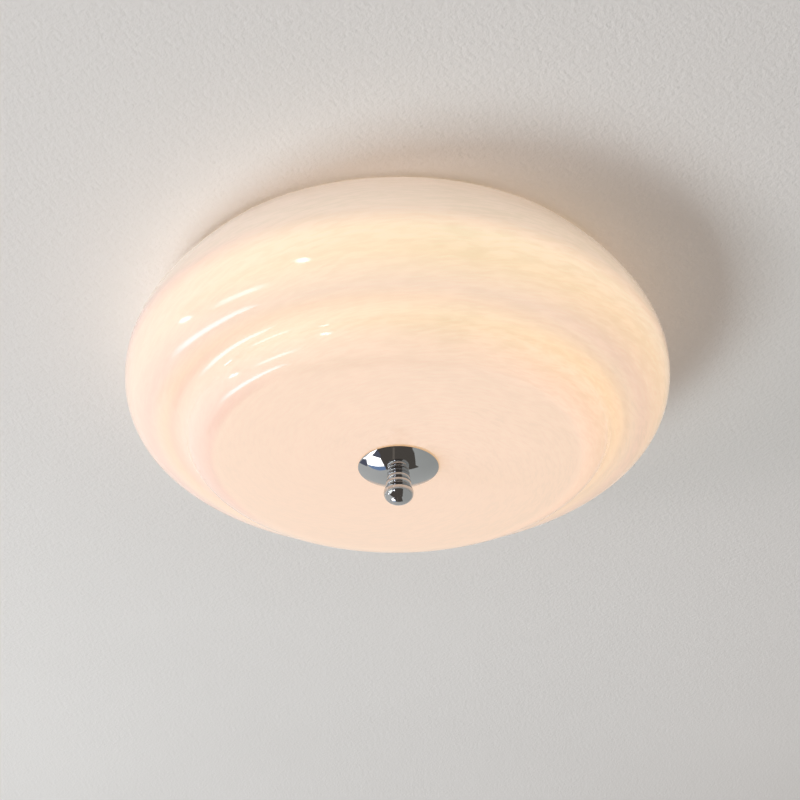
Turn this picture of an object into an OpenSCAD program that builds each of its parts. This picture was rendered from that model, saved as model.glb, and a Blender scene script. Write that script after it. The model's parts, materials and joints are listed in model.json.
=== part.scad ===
// Flush mount ceiling light: a stepped opal glass shade clamped on a hollow centre rod by a
// chrome cap and a screw-on finial, with a steel chassis pan, an LED panel and its driver inside.
// The ceiling is the plane z = 0 and everything hangs below it, so each place is given as a
// "drop", the distance below the ceiling. Millimetres.

/* [Glass shade] */
// Widest diameter of the glass
shade_d = 400; // [370:5:440]
// Wall of the blown glass
shade_wall = 4; // [3:0.5:5]
// Gap between the ceiling and the ground rim
rim_gap = 3; // [2:0.5:5]
// How far the rim lies inside the widest circle
rim_inset = 21.5; // [20:0.5:28]
// How far the groove lies inside the widest circle
groove_inset = 31.5; // [28:0.5:34]
// How far the lower tier's edge lies inside the widest circle
tier_inset = 48; // [45:0.5:51]
// How far the flat bottom's edge lies inside the widest circle
flat_inset = 68.5; // [64:0.5:72]
// Height of the shoulder, from the rim down to the widest circle
shoulder_h = 50.5; // [48:0.5:58]
// Height of the bulge, from the widest circle down to the groove
bulge_h = 39.5; // [36:0.5:44]
// Height from the groove down to the lower tier's edge
groove_h = 8.5; // [6:0.5:10]
// Height of the lower tier, from its edge down to the flat bottom
tier_h = 14; // [12:0.5:20]
// How far the bottom bulges below its own edge
crown_h = 2; // [1.5:0.5:5]
// Diameter of the level seat around the hole in the glass
seat_d = 72; // [66:2:90]

/* [Chassis pan] */
// Gap all round between the pan's lip and the glass rim
pan_clear = 4.7; // [3:0.1:8]
// Width of the lip against the ceiling
lip_w = 8; // [7:0.5:11]
// Depth of the pan below the ceiling
pan_depth = 48; // [44:1:54]
// Sheet steel of the pan
pan_sheet = 1; // [0.8:0.1:1.5]
// How much the wall draws in from top to bottom
pan_taper = 8; // [5:0.5:12]
// Outside radius of the pan's lower corner
pan_corner = 8; // [5:0.5:11]
// Thickness of the foam gasket on the lip
gasket_t = 2; // [1.5:0.5:3]
// Width of the foam gasket
gasket_w = 6; // [4:0.5:6.5]

/* [Ceiling bracket] */
// Width of the bracket bar
bar_w = 26; // [22:1:34]
// Sheet steel of the bracket
bar_sheet = 1.5; // [1.2:0.1:2]
// How far the middle of the bar stands off the ceiling
bar_drop = 8; // [7:0.5:12]
// End-to-end length of a ceiling slot
slot_l = 15; // [10:1:18]
// Width of a ceiling slot
slot_w = 5; // [4:0.5:6]
// Steel left around a ceiling slot
slot_land = 5; // [4:0.5:7]
// Hole in the bar for the supply cable
cable_hole_d = 14; // [10:1:16]
// Distance between the two hanging studs
stud_spacing = 76; // [66:1:84]
// Distance from a stud out to the middle of its ceiling slot
slot_out = 24; // [23:0.5:30]

/* [Studs and nuts] */
// Thread of the hanging studs
stud_d = 4; // [3.5:0.5:5]
// Head of a stud
stud_head_d = 8; // [7:0.5:9]
// Height of a stud's head
stud_head_h = 2.8; // [2:0.2:3.4]
// Across flats of the stud's nuts
stud_nut_af = 7; // [7:0.5:9]
// Height of the lock nuts under the bar
lock_nut_h = 3.2; // [2.4:0.2:4]
// Outer diameter of the washers under the pan
stud_washer_d = 10; // [9:0.5:12]
// Thickness of those washers
stud_washer_t = 1; // [0.8:0.1:1.5]
// Height of the cap nuts
cap_nut_h = 8; // [7:0.5:10]

/* [Centre rod] */
// Thread of the hollow centre rod
rod_d = 10; // [8:0.5:11]
// Bore of the hollow rod
rod_bore_d = 7.6; // [5:0.2:7.6]
// Rod left standing above its upper nut
rod_top_stub = 4; // [2:0.5:8]
// Across flats of the rod's nuts
rod_nut_af = 14; // [14:0.5:17]
// Height of the rod's clamping nuts
rod_nut_h = 5; // [4:0.5:6]
// Outer diameter of the rod's washers
rod_washer_d = 20; // [18:1:24]
// Thickness of the rod's washers
rod_washer_t = 1; // [0.8:0.1:1.5]
// Height of the thin nut that stops the shade
stop_nut_h = 4; // [3:0.5:5]
// Outer diameter of the disc that the shade is clamped against
stop_disc_d = 40; // [34:1:50]
// Thickness of that disc
stop_disc_t = 1.5; // [1:0.1:2]
// Length of rod inside the finial's thread
thread_engage = 10.4; // [9:0.2:11]

/* [LED panel] */
// Thickness of the aluminium circuit board
board_t = 1.5; // [1:0.1:2]
// Margin between the board and the edge of the pan's flat floor
board_margin = 8; // [5:0.5:12]
// Height of the spacers that hold the board off the pan
spacer_h = 4; // [4:0.5:6]
// Hole in the board around the rod's nut
board_hole_d = 34; // [30:1:36]
// Hole in the board around each cap nut
nut_hole_d = 18; // [16:0.5:20]
// Diameter of one LED's lens
lens_d = 13; // [11:0.5:14]
// Height of one LED's lens
lens_h = 5; // [4:0.5:6]
// Margin between the board's edge and the outer ring of LEDs
ring_margin = 14; // [12:0.5:16]
// Distance between the two rings of LEDs
ring_step = 40; // [36:1:42]
// LEDs in the outer ring
outer_leds = 28; // [20:1:30]
// LEDs in the inner ring
inner_leds = 18; // [12:1:20]
// Length of one LED chip
chip_l = 3.5; // [3:0.1:4]
// Width of one LED chip
chip_w = 2.8; // [2:0.1:3]
// Height of one LED chip
chip_h = 0.8; // [0.6:0.1:1]

/* [Driver] */
// Length of the driver's case
driver_l = 112; // [100:1:118]
// Width of the driver's case
driver_w = 42; // [38:1:46]
// Height of the driver's case with its lid
driver_h = 26; // [24:0.5:28]
// Height of the driver's lid
driver_lid_h = 6; // [4:0.5:8]
// Wall of the driver's case
driver_wall = 1.6; // [1.2:0.1:2]
// Distance of the driver from the centre rod
driver_y = 88; // [84:1:92]
// Length of the ear at each end of the case
ear_l = 11; // [10:0.5:13]
// Thickness of the ears
ear_t = 2; // [1.6:0.1:3]

/* [Terminal block] */
// Distance between neighbouring poles
pole_pitch = 10; // [9:0.5:12]
// Width of the block, along the wires
block_w = 18; // [16:0.5:20]
// Height of the block
block_h = 15; // [13:0.5:16]
// Distance of the block from the centre rod
block_y = 62; // [56:1:70]
// Outer diameter of a brass insert
insert_d = 6; // [5.4:0.2:6.6]
// Bore of a brass insert
insert_bore_d = 3; // [2.6:0.1:3.4]
// Diameter of a terminal screw
pole_screw_d = 3; // [2.6:0.1:3.2]

/* [Wires and small screws] */
// Outer diameter of a mains wire
wire_d = 2; // [1.6:0.1:2.4]
// Outer diameter of an LED wire
led_wire_d = 1.6; // [1.2:0.1:1.8]
// Thread of the small screws
screw_d = 3; // [2.5:0.1:3.2]
// Head of a small screw
screw_head_d = 5.5; // [5:0.1:6]
// Height of a small screw's head
screw_head_h = 2; // [1.6:0.1:2.4]
// Hole in the pan for the rubber grommet
grommet_hole_d = 9; // [8:0.5:11]

/* [Cap and finial] */
// Diameter of the chrome cap
cap_d = 58; // [50:1:64]
// Depth of the chrome cap
cap_h = 6.4; // [5:0.2:8]
// Sheet of the chrome cap
cap_wall = 1; // [0.8:0.1:1.4]
// Level top of the cap that carries the collar
cap_flat_d = 17.4; // [16:0.2:20]
// Widest diameter of the loose collar
collar_d = 16.6; // [15.6:0.2:19]
// Height of the loose collar
collar_h = 4.7; // [4:0.1:6]
// Widest diameter of the finial's neck
neck_d = 18.2; // [17:0.2:20]
// Height of the finial's neck
neck_h = 4.6; // [4:0.1:6]
// How far a ring of the neck bulges
ring_bulge = 0.9; // [0.5:0.1:1.2]
// Diameter of the finial's ball
ball_d = 21.4; // [20.8:0.2:26]
// Height of the finial's flattened ball
ball_h = 16.4; // [15.4:0.2:20]
// Depth of the finial's thread below its neck's top
bore_depth = 13; // [12:0.5:13.5]
// Diameter of the silicone washer under the cap
washer_d = 54; // [44:1:54]
// Thickness of the silicone washer
washer_t = 0.8; // [0.6:0.1:1.5]
// Flange diameter of the silicone bush in the glass
bush_flange_d = 30; // [26:1:34]
// Flange thickness of the silicone bush
bush_flange_t = 2; // [1.5:0.1:3]
// Wall of the bush's sleeve
bush_wall = 1.7; // [1.4:0.1:2.2]

/* [Fits] */
// Gap between parts that come apart or move on each other
part_gap = 0.3; // [0.3:0.05:0.4]
// Radial clearance of a screw, stud or rod in its hole
screw_clear = 0.05; // [0.03:0.01:0.1]
// Running clearance of the finial on the rod's thread
thread_clear = 0.05; // [0.03:0.01:0.1]

/* [Hidden] */
$fn = 96;
// how far a cut runs past the face it opens, or a joined piece runs into its neighbour
over = 1;
// how far a small screw's tip stands out behind the sheet it holds
screw_tip = 1;

// ---- directions of the glass outline, in degrees below the level line ----
rim_angle = 56.5;
groove_angle = 5;
tier_angle = 72;
flat_angle = 4.7;

// ---- places down the glass ----
shade_r = shade_d / 2;
rim_r = shade_r - rim_inset;
widest_drop = rim_gap + shoulder_h;
groove_drop = widest_drop + bulge_h;
tier_drop = groove_drop + groove_h;
flat_drop = tier_drop + tier_h;
glass_drop = flat_drop + crown_h;
seat_drop = glass_drop - shade_wall;
rim_inner_r = rim_r - shade_wall / sin(rim_angle);

// ---- places of the pan ----
lip_r = rim_inner_r - pan_clear;
pan_top_r = lip_r - lip_w;
pan_floor_r = pan_top_r - pan_taper;
lip_drop = gasket_t;
floor_top = pan_depth - pan_sheet;
flat_floor_r = pan_floor_r - pan_corner;

// ---- places of the bracket ----
// level steel left around a stud's head
stud_land = 0.5;
slot_spacing = stud_spacing + 2 * slot_out;
pad_half = slot_l / 2 + slot_land;
bend_l = slot_out - pad_half - stud_head_d / 2 - stud_land;
pad_start = slot_spacing / 2 - pad_half;
bar_end_r = bar_w / 2;
bar_half_l = slot_spacing / 2 + pad_half;
bar_under = bar_drop + bar_sheet;

// ---- places along the studs ----
// solid crown of a cap nut, below the end of its stud
nut_crown_h = 2.5;
stud_nut_drop = pan_depth + stud_washer_t;
stud_grip = cap_nut_h - nut_crown_h;
stud_end = stud_nut_drop + stud_grip;

// ---- places along the rod ----
rod_r = rod_d / 2;
upper_nut_drop = floor_top - rod_washer_t - rod_nut_h;
rod_top = upper_nut_drop - rod_top_stub;
bush_top = seat_drop - bush_flange_t;
stop_disc_drop = bush_top - part_gap - stop_disc_t;
washer_drop = glass_drop;
cap_rim_drop = washer_drop + washer_t + part_gap;
collar_drop = cap_rim_drop + cap_h;
neck_drop = collar_drop + collar_h + part_gap;
rod_end = neck_drop + thread_engage;
neck_end = neck_drop + neck_h;
ball_r = ball_d / 2;
ball_half_h = ball_h / 2;
// where the ball has narrowed to the neck, above its middle
neck_foot_r = neck_d / 2 - ring_bulge;
ball_top_angle = acos(neck_foot_r / ball_r);
ball_mid_drop = neck_end + ball_half_h * sin(ball_top_angle);
hole_r = rod_r + part_gap + bush_wall;

// ---- places of the LED panel ----
board_r = flat_floor_r - board_margin;
board_drop = pan_depth + spacer_h;
board_under = board_drop + board_t;
outer_ring_r = board_r - ring_margin;
inner_ring_r = outer_ring_r - ring_step;
spacer_ring_r = (outer_ring_r + inner_ring_r) / 2;
spacer_wall = 2.5;
spacer_d = screw_d + 2 * spacer_wall;
screw_hole_r = screw_d / 2 + screw_clear;
// centre of the grommet, as [x, y]
grommet_at = [30, 34];
// length, width and height of the socket on the board, its wall and its centre
socket_size = [12, 9, 6];
socket_wall = 1.2;
socket_at = [0, 40];
// length of the plug, its gap in the socket and how far it stands in the socket
plug_l = 8;
plug_gap = 0.1;
plug_grip = plug_l / 2;
plug_mid_x = socket_at[0] + socket_size[0] / 2;
plug_drop = board_under + socket_size[2] / 2;

// ---- places of the driver ----
driver_top = floor_top - driver_h;
driver_end_x = driver_l / 2;
ear_hole_x = driver_end_x + ear_l / 2;
lid_drop = driver_top + driver_lid_h;
// thickness of the driver's circuit board and the gap around it
pcb_t = 1.6;
pcb_gap = 0.3;
// posts under the circuit board
pcb_post_h = 3;
pcb_post_r = 2.5;
ear_w = 10;
pcb_under = floor_top - driver_wall - pcb_post_h;
pcb_top = pcb_under - pcb_t;
wire_entry_drop = pcb_top - wire_d / 2 - pcb_gap;
led_entry_drop = pcb_top - led_wire_d / 2 - pcb_gap;
// distance between the two wires of a pair
wire_pair = wire_d + 1.2;
led_pair = led_wire_d + 0.6;
// how far the wires loop out past the ends of the driver's case, and back from its middle
loop_out = 18;
loop_back = 14;

// ---- parts on the driver's circuit board ----
core_size = [20, 16, 14];
core_x = 6;
coil_r = 9;
coil_h = 9;
input_cap_r = 5;
input_cap_h = 14;
input_cap_x = -20;
output_cap_r = 4;
output_cap_h = 12;
output_cap_at = [30, 6];

// ---- places of the terminal block ----
block_top = floor_top - block_h;
// height of the poles above the pan's floor, as a share of the block's height
pole_share = 0.42;
pole_drop = floor_top - block_h * pole_share;
// plastic left at each end of the row of poles and at each end of a brass insert
block_end_wall = 1;
insert_inset = 2;
block_l = 3 * pole_pitch + 2 * block_end_wall;
insert_l = block_w - 2 * insert_inset;
// distance of a pole's screws from the middle of its insert
pole_screw_y = insert_l * 0.32;
// wood-type screws that hold the block, in recesses between the poles
block_screw_r = 1.25;
block_screw_head_r = 2.3;
block_screw_head_h = 1.6;
block_recess_h = 4;

// a wire's end and its straight run, from the middle of the block, and where it has
// turned down to the floor
wire_end = 1;
wire_run = 12;
wire_turn = 26;

// ---- places of the earth tab ----
earth_at = [46, -40];
earth_screw_d = 4;
earth_head_d = 2 * earth_screw_d;
tab_t = 0.8;
// crimped barrel of the tab
tab_barrel_l = 8;
barrel_wall = 0.7;
barrel_d = wire_d + 2 * barrel_wall;
barrel_x = earth_at[0] - earth_head_d / 2 - barrel_wall;

// ---- curves ----
curve_steps = 12;

// The direction a degrees below the level line, as [radius, drop].
function heading(a) = [cos(a), sin(a)];

// Points of a cubic curve from p to q, leaving along u and arriving along v.
function curve(p, u, lu, q, v, lv, n) = let(a = p + u * lu, b = q - v * lv)
    [for (i = [0:n - 1]) let(t = i / n, s = 1 - t)
        s * s * s * p + 3 * s * s * t * a + 3 * s * t * t * b + t * t * t * q];

// Outer outline of the glass, as [radius, drop], from the rim to the hole.
function glass_outer() = let(
    rim = [rim_r, rim_gap],
    wide = [shade_r, widest_drop],
    groove = [shade_r - groove_inset, groove_drop],
    tier = [shade_r - tier_inset, tier_drop],
    flat = [shade_r - flat_inset, flat_drop],
    seat = [seat_d / 2, glass_drop])
    concat(
        curve(rim, heading(rim_angle), shoulder_h * 0.25, wide, heading(90), shoulder_h * 0.38,
            curve_steps),
        curve(wide, heading(90), bulge_h * 0.83, groove, heading(180 - groove_angle),
            groove_inset * 0.24, curve_steps + 6),
        curve(groove, heading(180 - groove_angle), groove_h * 0.88, tier,
            heading(180 - tier_angle), groove_h * 0.48, curve_steps / 2),
        curve(tier, heading(180 - tier_angle), tier_h * 0.59, flat, heading(180 - flat_angle),
            tier_h * 0.69, curve_steps - 4),
        curve(flat, heading(180 - flat_angle), (flat[0] - seat[0]) / 3, seat, heading(180),
            (flat[0] - seat[0]) / 3, curve_steps / 2),
        [seat, [hole_r, glass_drop]]);

// The outward direction of an outline at its point i.
function outward(p, i) = let(
    a = p[max(i - 1, 0)],
    b = p[min(i + 1, len(p) - 1)],
    t = (b - a) / norm(b - a)) [t[1], -t[0]];

// The inner outline of a wall of constant thickness.
function inset_outline(p, wall) =
    [for (i = [0:len(p) - 1]) p[i] - outward(p, i) * wall];

// An arc about c with radii rx and ry, from angle a to angle b, in n steps.
function arc(c, rx, ry, a, b, n) =
    [for (i = [0:n]) let(t = a + (b - a) * i / n) c + [rx * cos(t), ry * sin(t)]];

// ---- small building blocks ----

// Turns an outline of [radius, drop] points about the centre rod.
module lathe(points) {
    rotate_extrude()
        polygon([for (p = points) [p[0], -p[1]]]);
}

// A ring or a disc between two drops.
module ring(outer_r, inner_r, top, h) {
    translate([0, 0, -top - h])
        difference() {
            cylinder(r = outer_r, h = h);
            translate([0, 0, -over])
                cylinder(r = inner_r, h = h + 2 * over);
        }
}

// A solid round, h tall, below a drop.
module rod(r, top, h) {
    translate([0, 0, -top - h])
        cylinder(r = r, h = h);
}

// A box centred on the axis, h tall, below a drop.
module slab(l, w, top, h) {
    translate([-l / 2, -w / 2, -top - h])
        cube([l, w, h]);
}

// A hexagonal prism with chamfered corners, h tall, below a drop.
module hexagon(af, top, h) {
    corner_r = af / 2 / cos(30);
    chamfer = (corner_r - af / 2) * 0.6;
    outside_r = corner_r + over;
    intersection() {
        rod(corner_r, top, h, $fn = 6);
        lathe([[0, top], [af / 2, top], [corner_r, top + chamfer], [outside_r, top + chamfer],
            [outside_r, top + h - chamfer], [corner_r, top + h - chamfer], [af / 2, top + h],
            [0, top + h]]);
    }
}

// A hexagonal nut, h tall, below a drop.
module hex_nut(af, hole_r, top, h) {
    difference() {
        hexagon(af, top, h);
        rod(hole_r, top - over, h + 2 * over);
    }
}

// A round-headed screw with a cross recess. Its head lies against the drop "seat": side is 1
// where the head hangs below the seat and -1 where it stands above.
module screw(d, head_d, head_h, seat, length, side) {
    round_r = head_h * 0.6;
    recess_w = d * 0.28;
    recess_l = head_d * 0.6;
    recess_h = head_h * 0.5;
    recess_top = side > 0 ? seat + head_h - recess_h : seat - head_h - over;
    difference() {
        lathe(concat([[0, seat], [head_d / 2, seat]],
            arc([head_d / 2 - round_r, seat + side * (head_h - round_r)], round_r,
                side * round_r, 0, 90, 5),
            [[0, seat + side * head_h]]));
        slab(recess_l, recess_w, recess_top, recess_h + over);
        slab(recess_w, recess_l, recess_top, recess_h + over);
    }
    rod(d / 2, side > 0 ? seat - length : seat, length);
}

// Copies its children to both hanging studs.
module at_studs() {
    for (side = [-1, 1])
        translate([side * stud_spacing / 2, 0, 0])
            children();
}

// Copies its children to the four spacers of the LED board.
module at_spacers() {
    for (turn = [45:90:315])
        rotate([0, 0, turn])
            translate([spacer_ring_r, 0, 0])
                children();
}

// Copies its children to every LED, turned to face the centre.
module at_leds() {
    for (row = [[outer_ring_r, outer_leds], [inner_ring_r, inner_leds]])
        for (i = [0:row[1] - 1])
            rotate([0, 0, 360 * i / row[1]])
                translate([row[0], 0, 0])
                    children();
}

// Copies its children to the two ears of the driver.
module at_ears() {
    for (side = [-1, 1])
        translate([side * ear_hole_x, driver_y, 0])
            children();
}

// Copies its children to the two mounting screws of the terminal block.
module at_block_screws() {
    for (side = [-1, 1])
        translate([side * pole_pitch / 2, -block_y, 0])
            children();
}

// Copies its children to the three poles of the terminal block.
module at_poles() {
    for (i = [-1:1])
        translate([i * pole_pitch, -block_y, 0])
            children();
}

// Copies its children to the six screws of the terminal block.
module at_pole_screws() {
    for (side = [-1, 1])
        translate([0, side * pole_screw_y, 0])
            at_poles()
                children();
}

// ---- wires ----
wire_sides = 8;
wire_steps = 3;

// A smooth path through the points p, with n steps between neighbours.
function smooth_path(p, n) = let(last = len(p) - 1) concat(
    [for (i = [0:last - 1]) let(
        a = p[max(i - 1, 0)], b = p[i], c = p[i + 1], d = p[min(i + 2, last)])
        for (j = [0:n - 1]) let(t = j / n)
            b + (c - a) * t / 2 + (2 * a - 5 * b + 4 * c - d) * t * t / 2
                + (3 * b - a - 3 * c + d) * t * t * t / 2],
    [p[last]]);

// The ring of corners around point i of a path; across is never along the path.
function wire_ring(p, i, r, across) = let(
    along = p[min(i + 1, len(p) - 1)] - p[max(i - 1, 0)],
    u = cross(along, across) / norm(cross(along, across)),
    v = cross(u, along) / norm(along))
    [for (k = [0:wire_sides - 1]) let(a = 360 * k / wire_sides)
        p[i] + r * (cos(a) * u + sin(a) * v)];

// A round wire swept along a path.
module wire(route, r, across) {
    p = smooth_path(route, wire_steps);
    n = wire_sides;
    last = len(p) - 1;
    polyhedron(
        points = [for (i = [0:last]) each wire_ring(p, i, r, across)],
        faces = concat(
            [[for (k = [0:n - 1]) k]],
            [for (i = [0:last - 1]) for (k = [0:n - 1])
                [i * n + k, (i + 1) * n + k, (i + 1) * n + (k + 1) % n, i * n + (k + 1) % n]],
            [[for (k = [n - 1:-1:0]) last * n + k]]));
}

// One wire of a pair. Each point of the pair's route is [x, y, drop, side, half]: side is the
// direction towards the first wire and half is its distance from the middle of the pair.
function one_of_pair(route, k) = [for (q = route)
    [q[0] + k * q[4] * cos(q[3]), q[1] + k * q[4] * sin(q[3]), -q[2]]];

// Live and neutral, from the terminal block past the rod to the driver's left end.
mains_route = let(x = -pole_pitch / 2, half = wire_pair / 2) [
    [x, wire_end - block_y, pole_drop, 180, pole_pitch / 2],
    [x, wire_run - block_y, pole_drop, 180, pole_pitch / 2],
    [-pole_pitch, wire_turn - block_y, floor_top - 3, 195, half * 2],
    [-21, -16, floor_top - 2, 200, half],
    [-25, 5, floor_top - 2, 197, half],
    [-34, 27, floor_top - 2, 222, half],
    [-49, 44, floor_top - 3.5, 228, half],
    [-65, 59, floor_top - 5, 220, half],
    [-driver_end_x - loop_out, driver_y - loop_back, wire_entry_drop + 1, 190, half],
    [-driver_end_x - loop_out + 2.5, driver_y - 4, wire_entry_drop, 135, half],
    [-driver_end_x - 7, driver_y, wire_entry_drop, 90, half],
    [-driver_end_x + 1, driver_y, wire_entry_drop, 90, half],
    [-driver_end_x + 7, driver_y, wire_entry_drop, 90, half]];

// Earth, from the terminal block to the tab under the earth screw.
earth_route = let(y = earth_at[1], d = floor_top - barrel_d / 2) [
    [pole_pitch, wire_end - block_y, -pole_drop],
    [pole_pitch, wire_run - block_y, -pole_drop],
    [pole_pitch + 3, y - 4, -pole_drop - 2],
    [pole_pitch + 11, y, -d + 0.4],
    [barrel_x - tab_barrel_l - 4, y, -d],
    [barrel_x - tab_barrel_l / 2, y, -d]];

// The LED pair, from the driver's right end through the grommet to the plug.
led_route = let(half = led_pair / 2, gx = grommet_at[0], gy = grommet_at[1],
    plug_x = plug_mid_x + plug_l / 2) [
    [driver_end_x - 7, driver_y, led_entry_drop, 90, half],
    [driver_end_x - 1, driver_y, led_entry_drop, 90, half],
    [driver_end_x + 8, driver_y, led_entry_drop, 90, half],
    [driver_end_x + loop_out - 2, driver_y - 5, led_entry_drop + 1, 45, half],
    [driver_end_x + loop_out - 1, driver_y - loop_back - 2, led_entry_drop + 2, 350, half],
    [gx + 36, gy + 27, floor_top - 3, 320, half],
    [gx + 18, gy + 10, floor_top - 2.5, 305, half],
    [gx + 5, gy + 2, floor_top - 3.5, 300, half],
    [gx, gy, floor_top + 0.5, 290, half],
    [gx, gy, board_drop, 285, half],
    [gx - 2, gy + 0.5, board_under + 2.4, 280, half],
    [(gx + plug_x) / 2, socket_at[1] - 1, plug_drop + 0.6, 275, half],
    [plug_x + 3, socket_at[1], plug_drop, 270, half],
    [plug_x, socket_at[1], plug_drop, 270, half]];

// ---- parts held by the ceiling ----

module ceiling_bracket() {
    bend_knee = bar_sheet * tan(atan2(bar_drop, bend_l) / 2);
    half_top = [[0, bar_drop], [pad_start - bend_l, bar_drop], [pad_start, 0],
        [bar_half_l + over, 0]];
    half_under = [[bar_half_l + over, bar_sheet], [pad_start + bend_knee, bar_sheet],
        [pad_start - bend_l + bend_knee, bar_under], [0, bar_under]];
    color("silver")
        difference() {
            intersection() {
                for (side = [0, 1])
                    mirror([side, 0, 0])
                        rotate([90, 0, 0])
                            linear_extrude(bar_w, center = true)
                                polygon([for (p = concat(half_top, half_under)) [p[0], -p[1]]]);
                rod(bar_half_l, -over, bar_under + 2 * over);
            }
            for (side = [-1, 1])
                translate([side * slot_spacing / 2, 0, 0])
                    ceiling_slot();
            rod(cable_hole_d / 2, bar_drop - over, bar_sheet + 2 * over);
            at_studs()
                rod(stud_d / 2 + screw_clear, bar_drop - over, bar_sheet + 2 * over);
        }
}

module ceiling_slot() {
    straight = slot_l - slot_w;
    slab(straight, slot_w, -over, bar_sheet + 2 * over);
    for (end = [-1, 1])
        translate([end * straight / 2, 0, 0])
            rod(slot_w / 2, -over, bar_sheet + 2 * over);
}

module mounting_studs() {
    color("gainsboro")
        at_studs()
            screw(stud_d, stud_head_d, stud_head_h, bar_drop, stud_end - bar_drop, -1);
}

module stud_lock_nuts() {
    color("gainsboro")
        at_studs()
            hex_nut(stud_nut_af, stud_d / 2 + screw_clear, bar_under, lock_nut_h);
}

module pan_gasket() {
    edge_gap = 0.5;
    outer_r = lip_r - edge_gap;
    color("dimgray")
        ring(outer_r, outer_r - gasket_w, 0, gasket_t);
}

module chassis_pan() {
    corner_drop = pan_depth - pan_corner;
    color("white")
        difference() {
            lathe(concat(
                [[0, pan_depth]],
                arc([flat_floor_r, corner_drop], pan_corner, pan_corner, 90, 0, 6),
                [[pan_top_r, lip_drop + pan_sheet], [lip_r, lip_drop + pan_sheet],
                    [lip_r, lip_drop], [pan_top_r - pan_sheet, lip_drop]],
                arc([flat_floor_r, corner_drop], pan_corner - pan_sheet,
                    pan_corner - pan_sheet, 0, 90, 6),
                [[0, floor_top]]));
            floor_hole(rod_r + screw_clear);
            at_studs()
                floor_hole(stud_d / 2 + part_gap);
            at_spacers()
                floor_hole(screw_hole_r);
            at_ears()
                floor_hole(screw_hole_r);
            at_block_screws()
                floor_hole(block_screw_r + screw_clear);
            translate(concat(grommet_at, 0))
                floor_hole(grommet_hole_d / 2);
            translate(concat(earth_at, 0))
                floor_hole(earth_screw_d / 2 + screw_clear);
        }
}

// A hole right through the floor of the pan.
module floor_hole(r) {
    rod(r, floor_top - over, pan_sheet + 2 * over);
}

module stud_washers() {
    color("gainsboro")
        at_studs()
            ring(stud_washer_d / 2, stud_d / 2 + screw_clear, pan_depth, stud_washer_t);
}

module cap_nuts() {
    hex_h = cap_nut_h * 0.45;
    dome_step = 0.2;
    dome_r = stud_nut_af / 2 - dome_step;
    color("gainsboro")
        at_studs()
            difference() {
                union() {
                    hexagon(stud_nut_af, stud_nut_drop, hex_h);
                    lathe(concat([[0, stud_nut_drop + hex_h / 2]],
                        [[dome_r, stud_nut_drop + hex_h / 2]],
                        arc([0, stud_nut_drop + hex_h], dome_r, cap_nut_h - hex_h, 0, 90, 8)));
                }
                rod(stud_d / 2 + screw_clear, stud_nut_drop - over, stud_grip + part_gap + over);
            }
}

module center_rod() {
    color("silver")
        ring(rod_r, rod_bore_d / 2, rod_top, rod_end - rod_top);
}

module rod_lock_washer() {
    color("silver")
        ring(rod_washer_d / 2, rod_r + screw_clear, floor_top - rod_washer_t, rod_washer_t);
}

module rod_upper_nut() {
    color("silver")
        hex_nut(rod_nut_af, rod_r + screw_clear, upper_nut_drop, rod_nut_h);
}

module rod_lower_washer() {
    color("silver")
        ring(rod_washer_d / 2, rod_r + screw_clear, pan_depth, rod_washer_t);
}

module rod_lower_nut() {
    color("silver")
        hex_nut(rod_nut_af, rod_r + screw_clear, pan_depth + rod_washer_t, rod_nut_h);
}

module shade_stop_nut() {
    color("silver")
        hex_nut(rod_nut_af, rod_r + screw_clear, stop_disc_drop - stop_nut_h, stop_nut_h);
}

module shade_stop_disc() {
    color("silver")
        ring(stop_disc_d / 2, rod_r + screw_clear, stop_disc_drop, stop_disc_t);
}

// ---- LED panel ----

module led_board() {
    through = board_t + 2 * over;
    above = board_drop - over;
    color("whitesmoke")
        difference() {
            rod(board_r, board_drop, board_t);
            rod(board_hole_d / 2, above, through);
            at_studs()
                rod(nut_hole_d / 2, above, through);
            at_spacers()
                rod(screw_hole_r, above, through);
            translate(concat(grommet_at, 0))
                rod(grommet_hole_d / 2, above, through);
        }
}

module led_spacers() {
    color("ivory")
        at_spacers()
            ring(spacer_d / 2, screw_hole_r, pan_depth, spacer_h);
}

module led_board_screws() {
    color("gainsboro")
        at_spacers()
            screw(screw_d, screw_head_d, screw_head_h, board_under,
                board_t + spacer_h + pan_sheet + screw_tip, 1);
}

module led_chips() {
    color("khaki")
        at_leds()
            slab(chip_w, chip_l, board_under, chip_h);
}

module led_lenses() {
    edge_h = lens_h * 0.2;
    pocket_gap = 0.5;
    pocket_r = norm([chip_l, chip_w]) / 2 + pocket_gap;
    pocket_drop = board_under + chip_h + pocket_gap;
    color("aliceblue")
        at_leds()
            lathe(concat(
                [[pocket_r, board_under], [lens_d / 2, board_under]],
                arc([0, board_under + edge_h], lens_d / 2, lens_h - edge_h, 0, 90, 8),
                [[0, pocket_drop], [pocket_r, pocket_drop]]));
}

module led_socket() {
    depth = socket_size[0] - 2 * socket_wall;
    color("ivory")
        translate(concat(socket_at, 0))
            difference() {
                slab(socket_size[0], socket_size[1], board_under, socket_size[2]);
                translate([(socket_size[0] - depth + over) / 2, 0, 0])
                    slab(depth + over, socket_size[1] - 2 * socket_wall,
                        board_under + socket_wall, socket_size[2] - 2 * socket_wall);
            }
}

module led_plug() {
    inset = socket_wall + plug_gap;
    color("snow")
        difference() {
            translate([plug_mid_x, socket_at[1], 0])
                slab(plug_l, socket_size[1] - 2 * inset, board_under + inset,
                    socket_size[2] - 2 * inset);
            for (side = [-1, 1])
                translate([plug_mid_x + plug_l / 2 + over, socket_at[1] + side * led_pair / 2,
                    -plug_drop])
                    rotate([0, -90, 0])
                        cylinder(r = led_wire_d / 2 + screw_clear, h = over + plug_grip);
        }
}

// ---- driver ----

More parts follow.
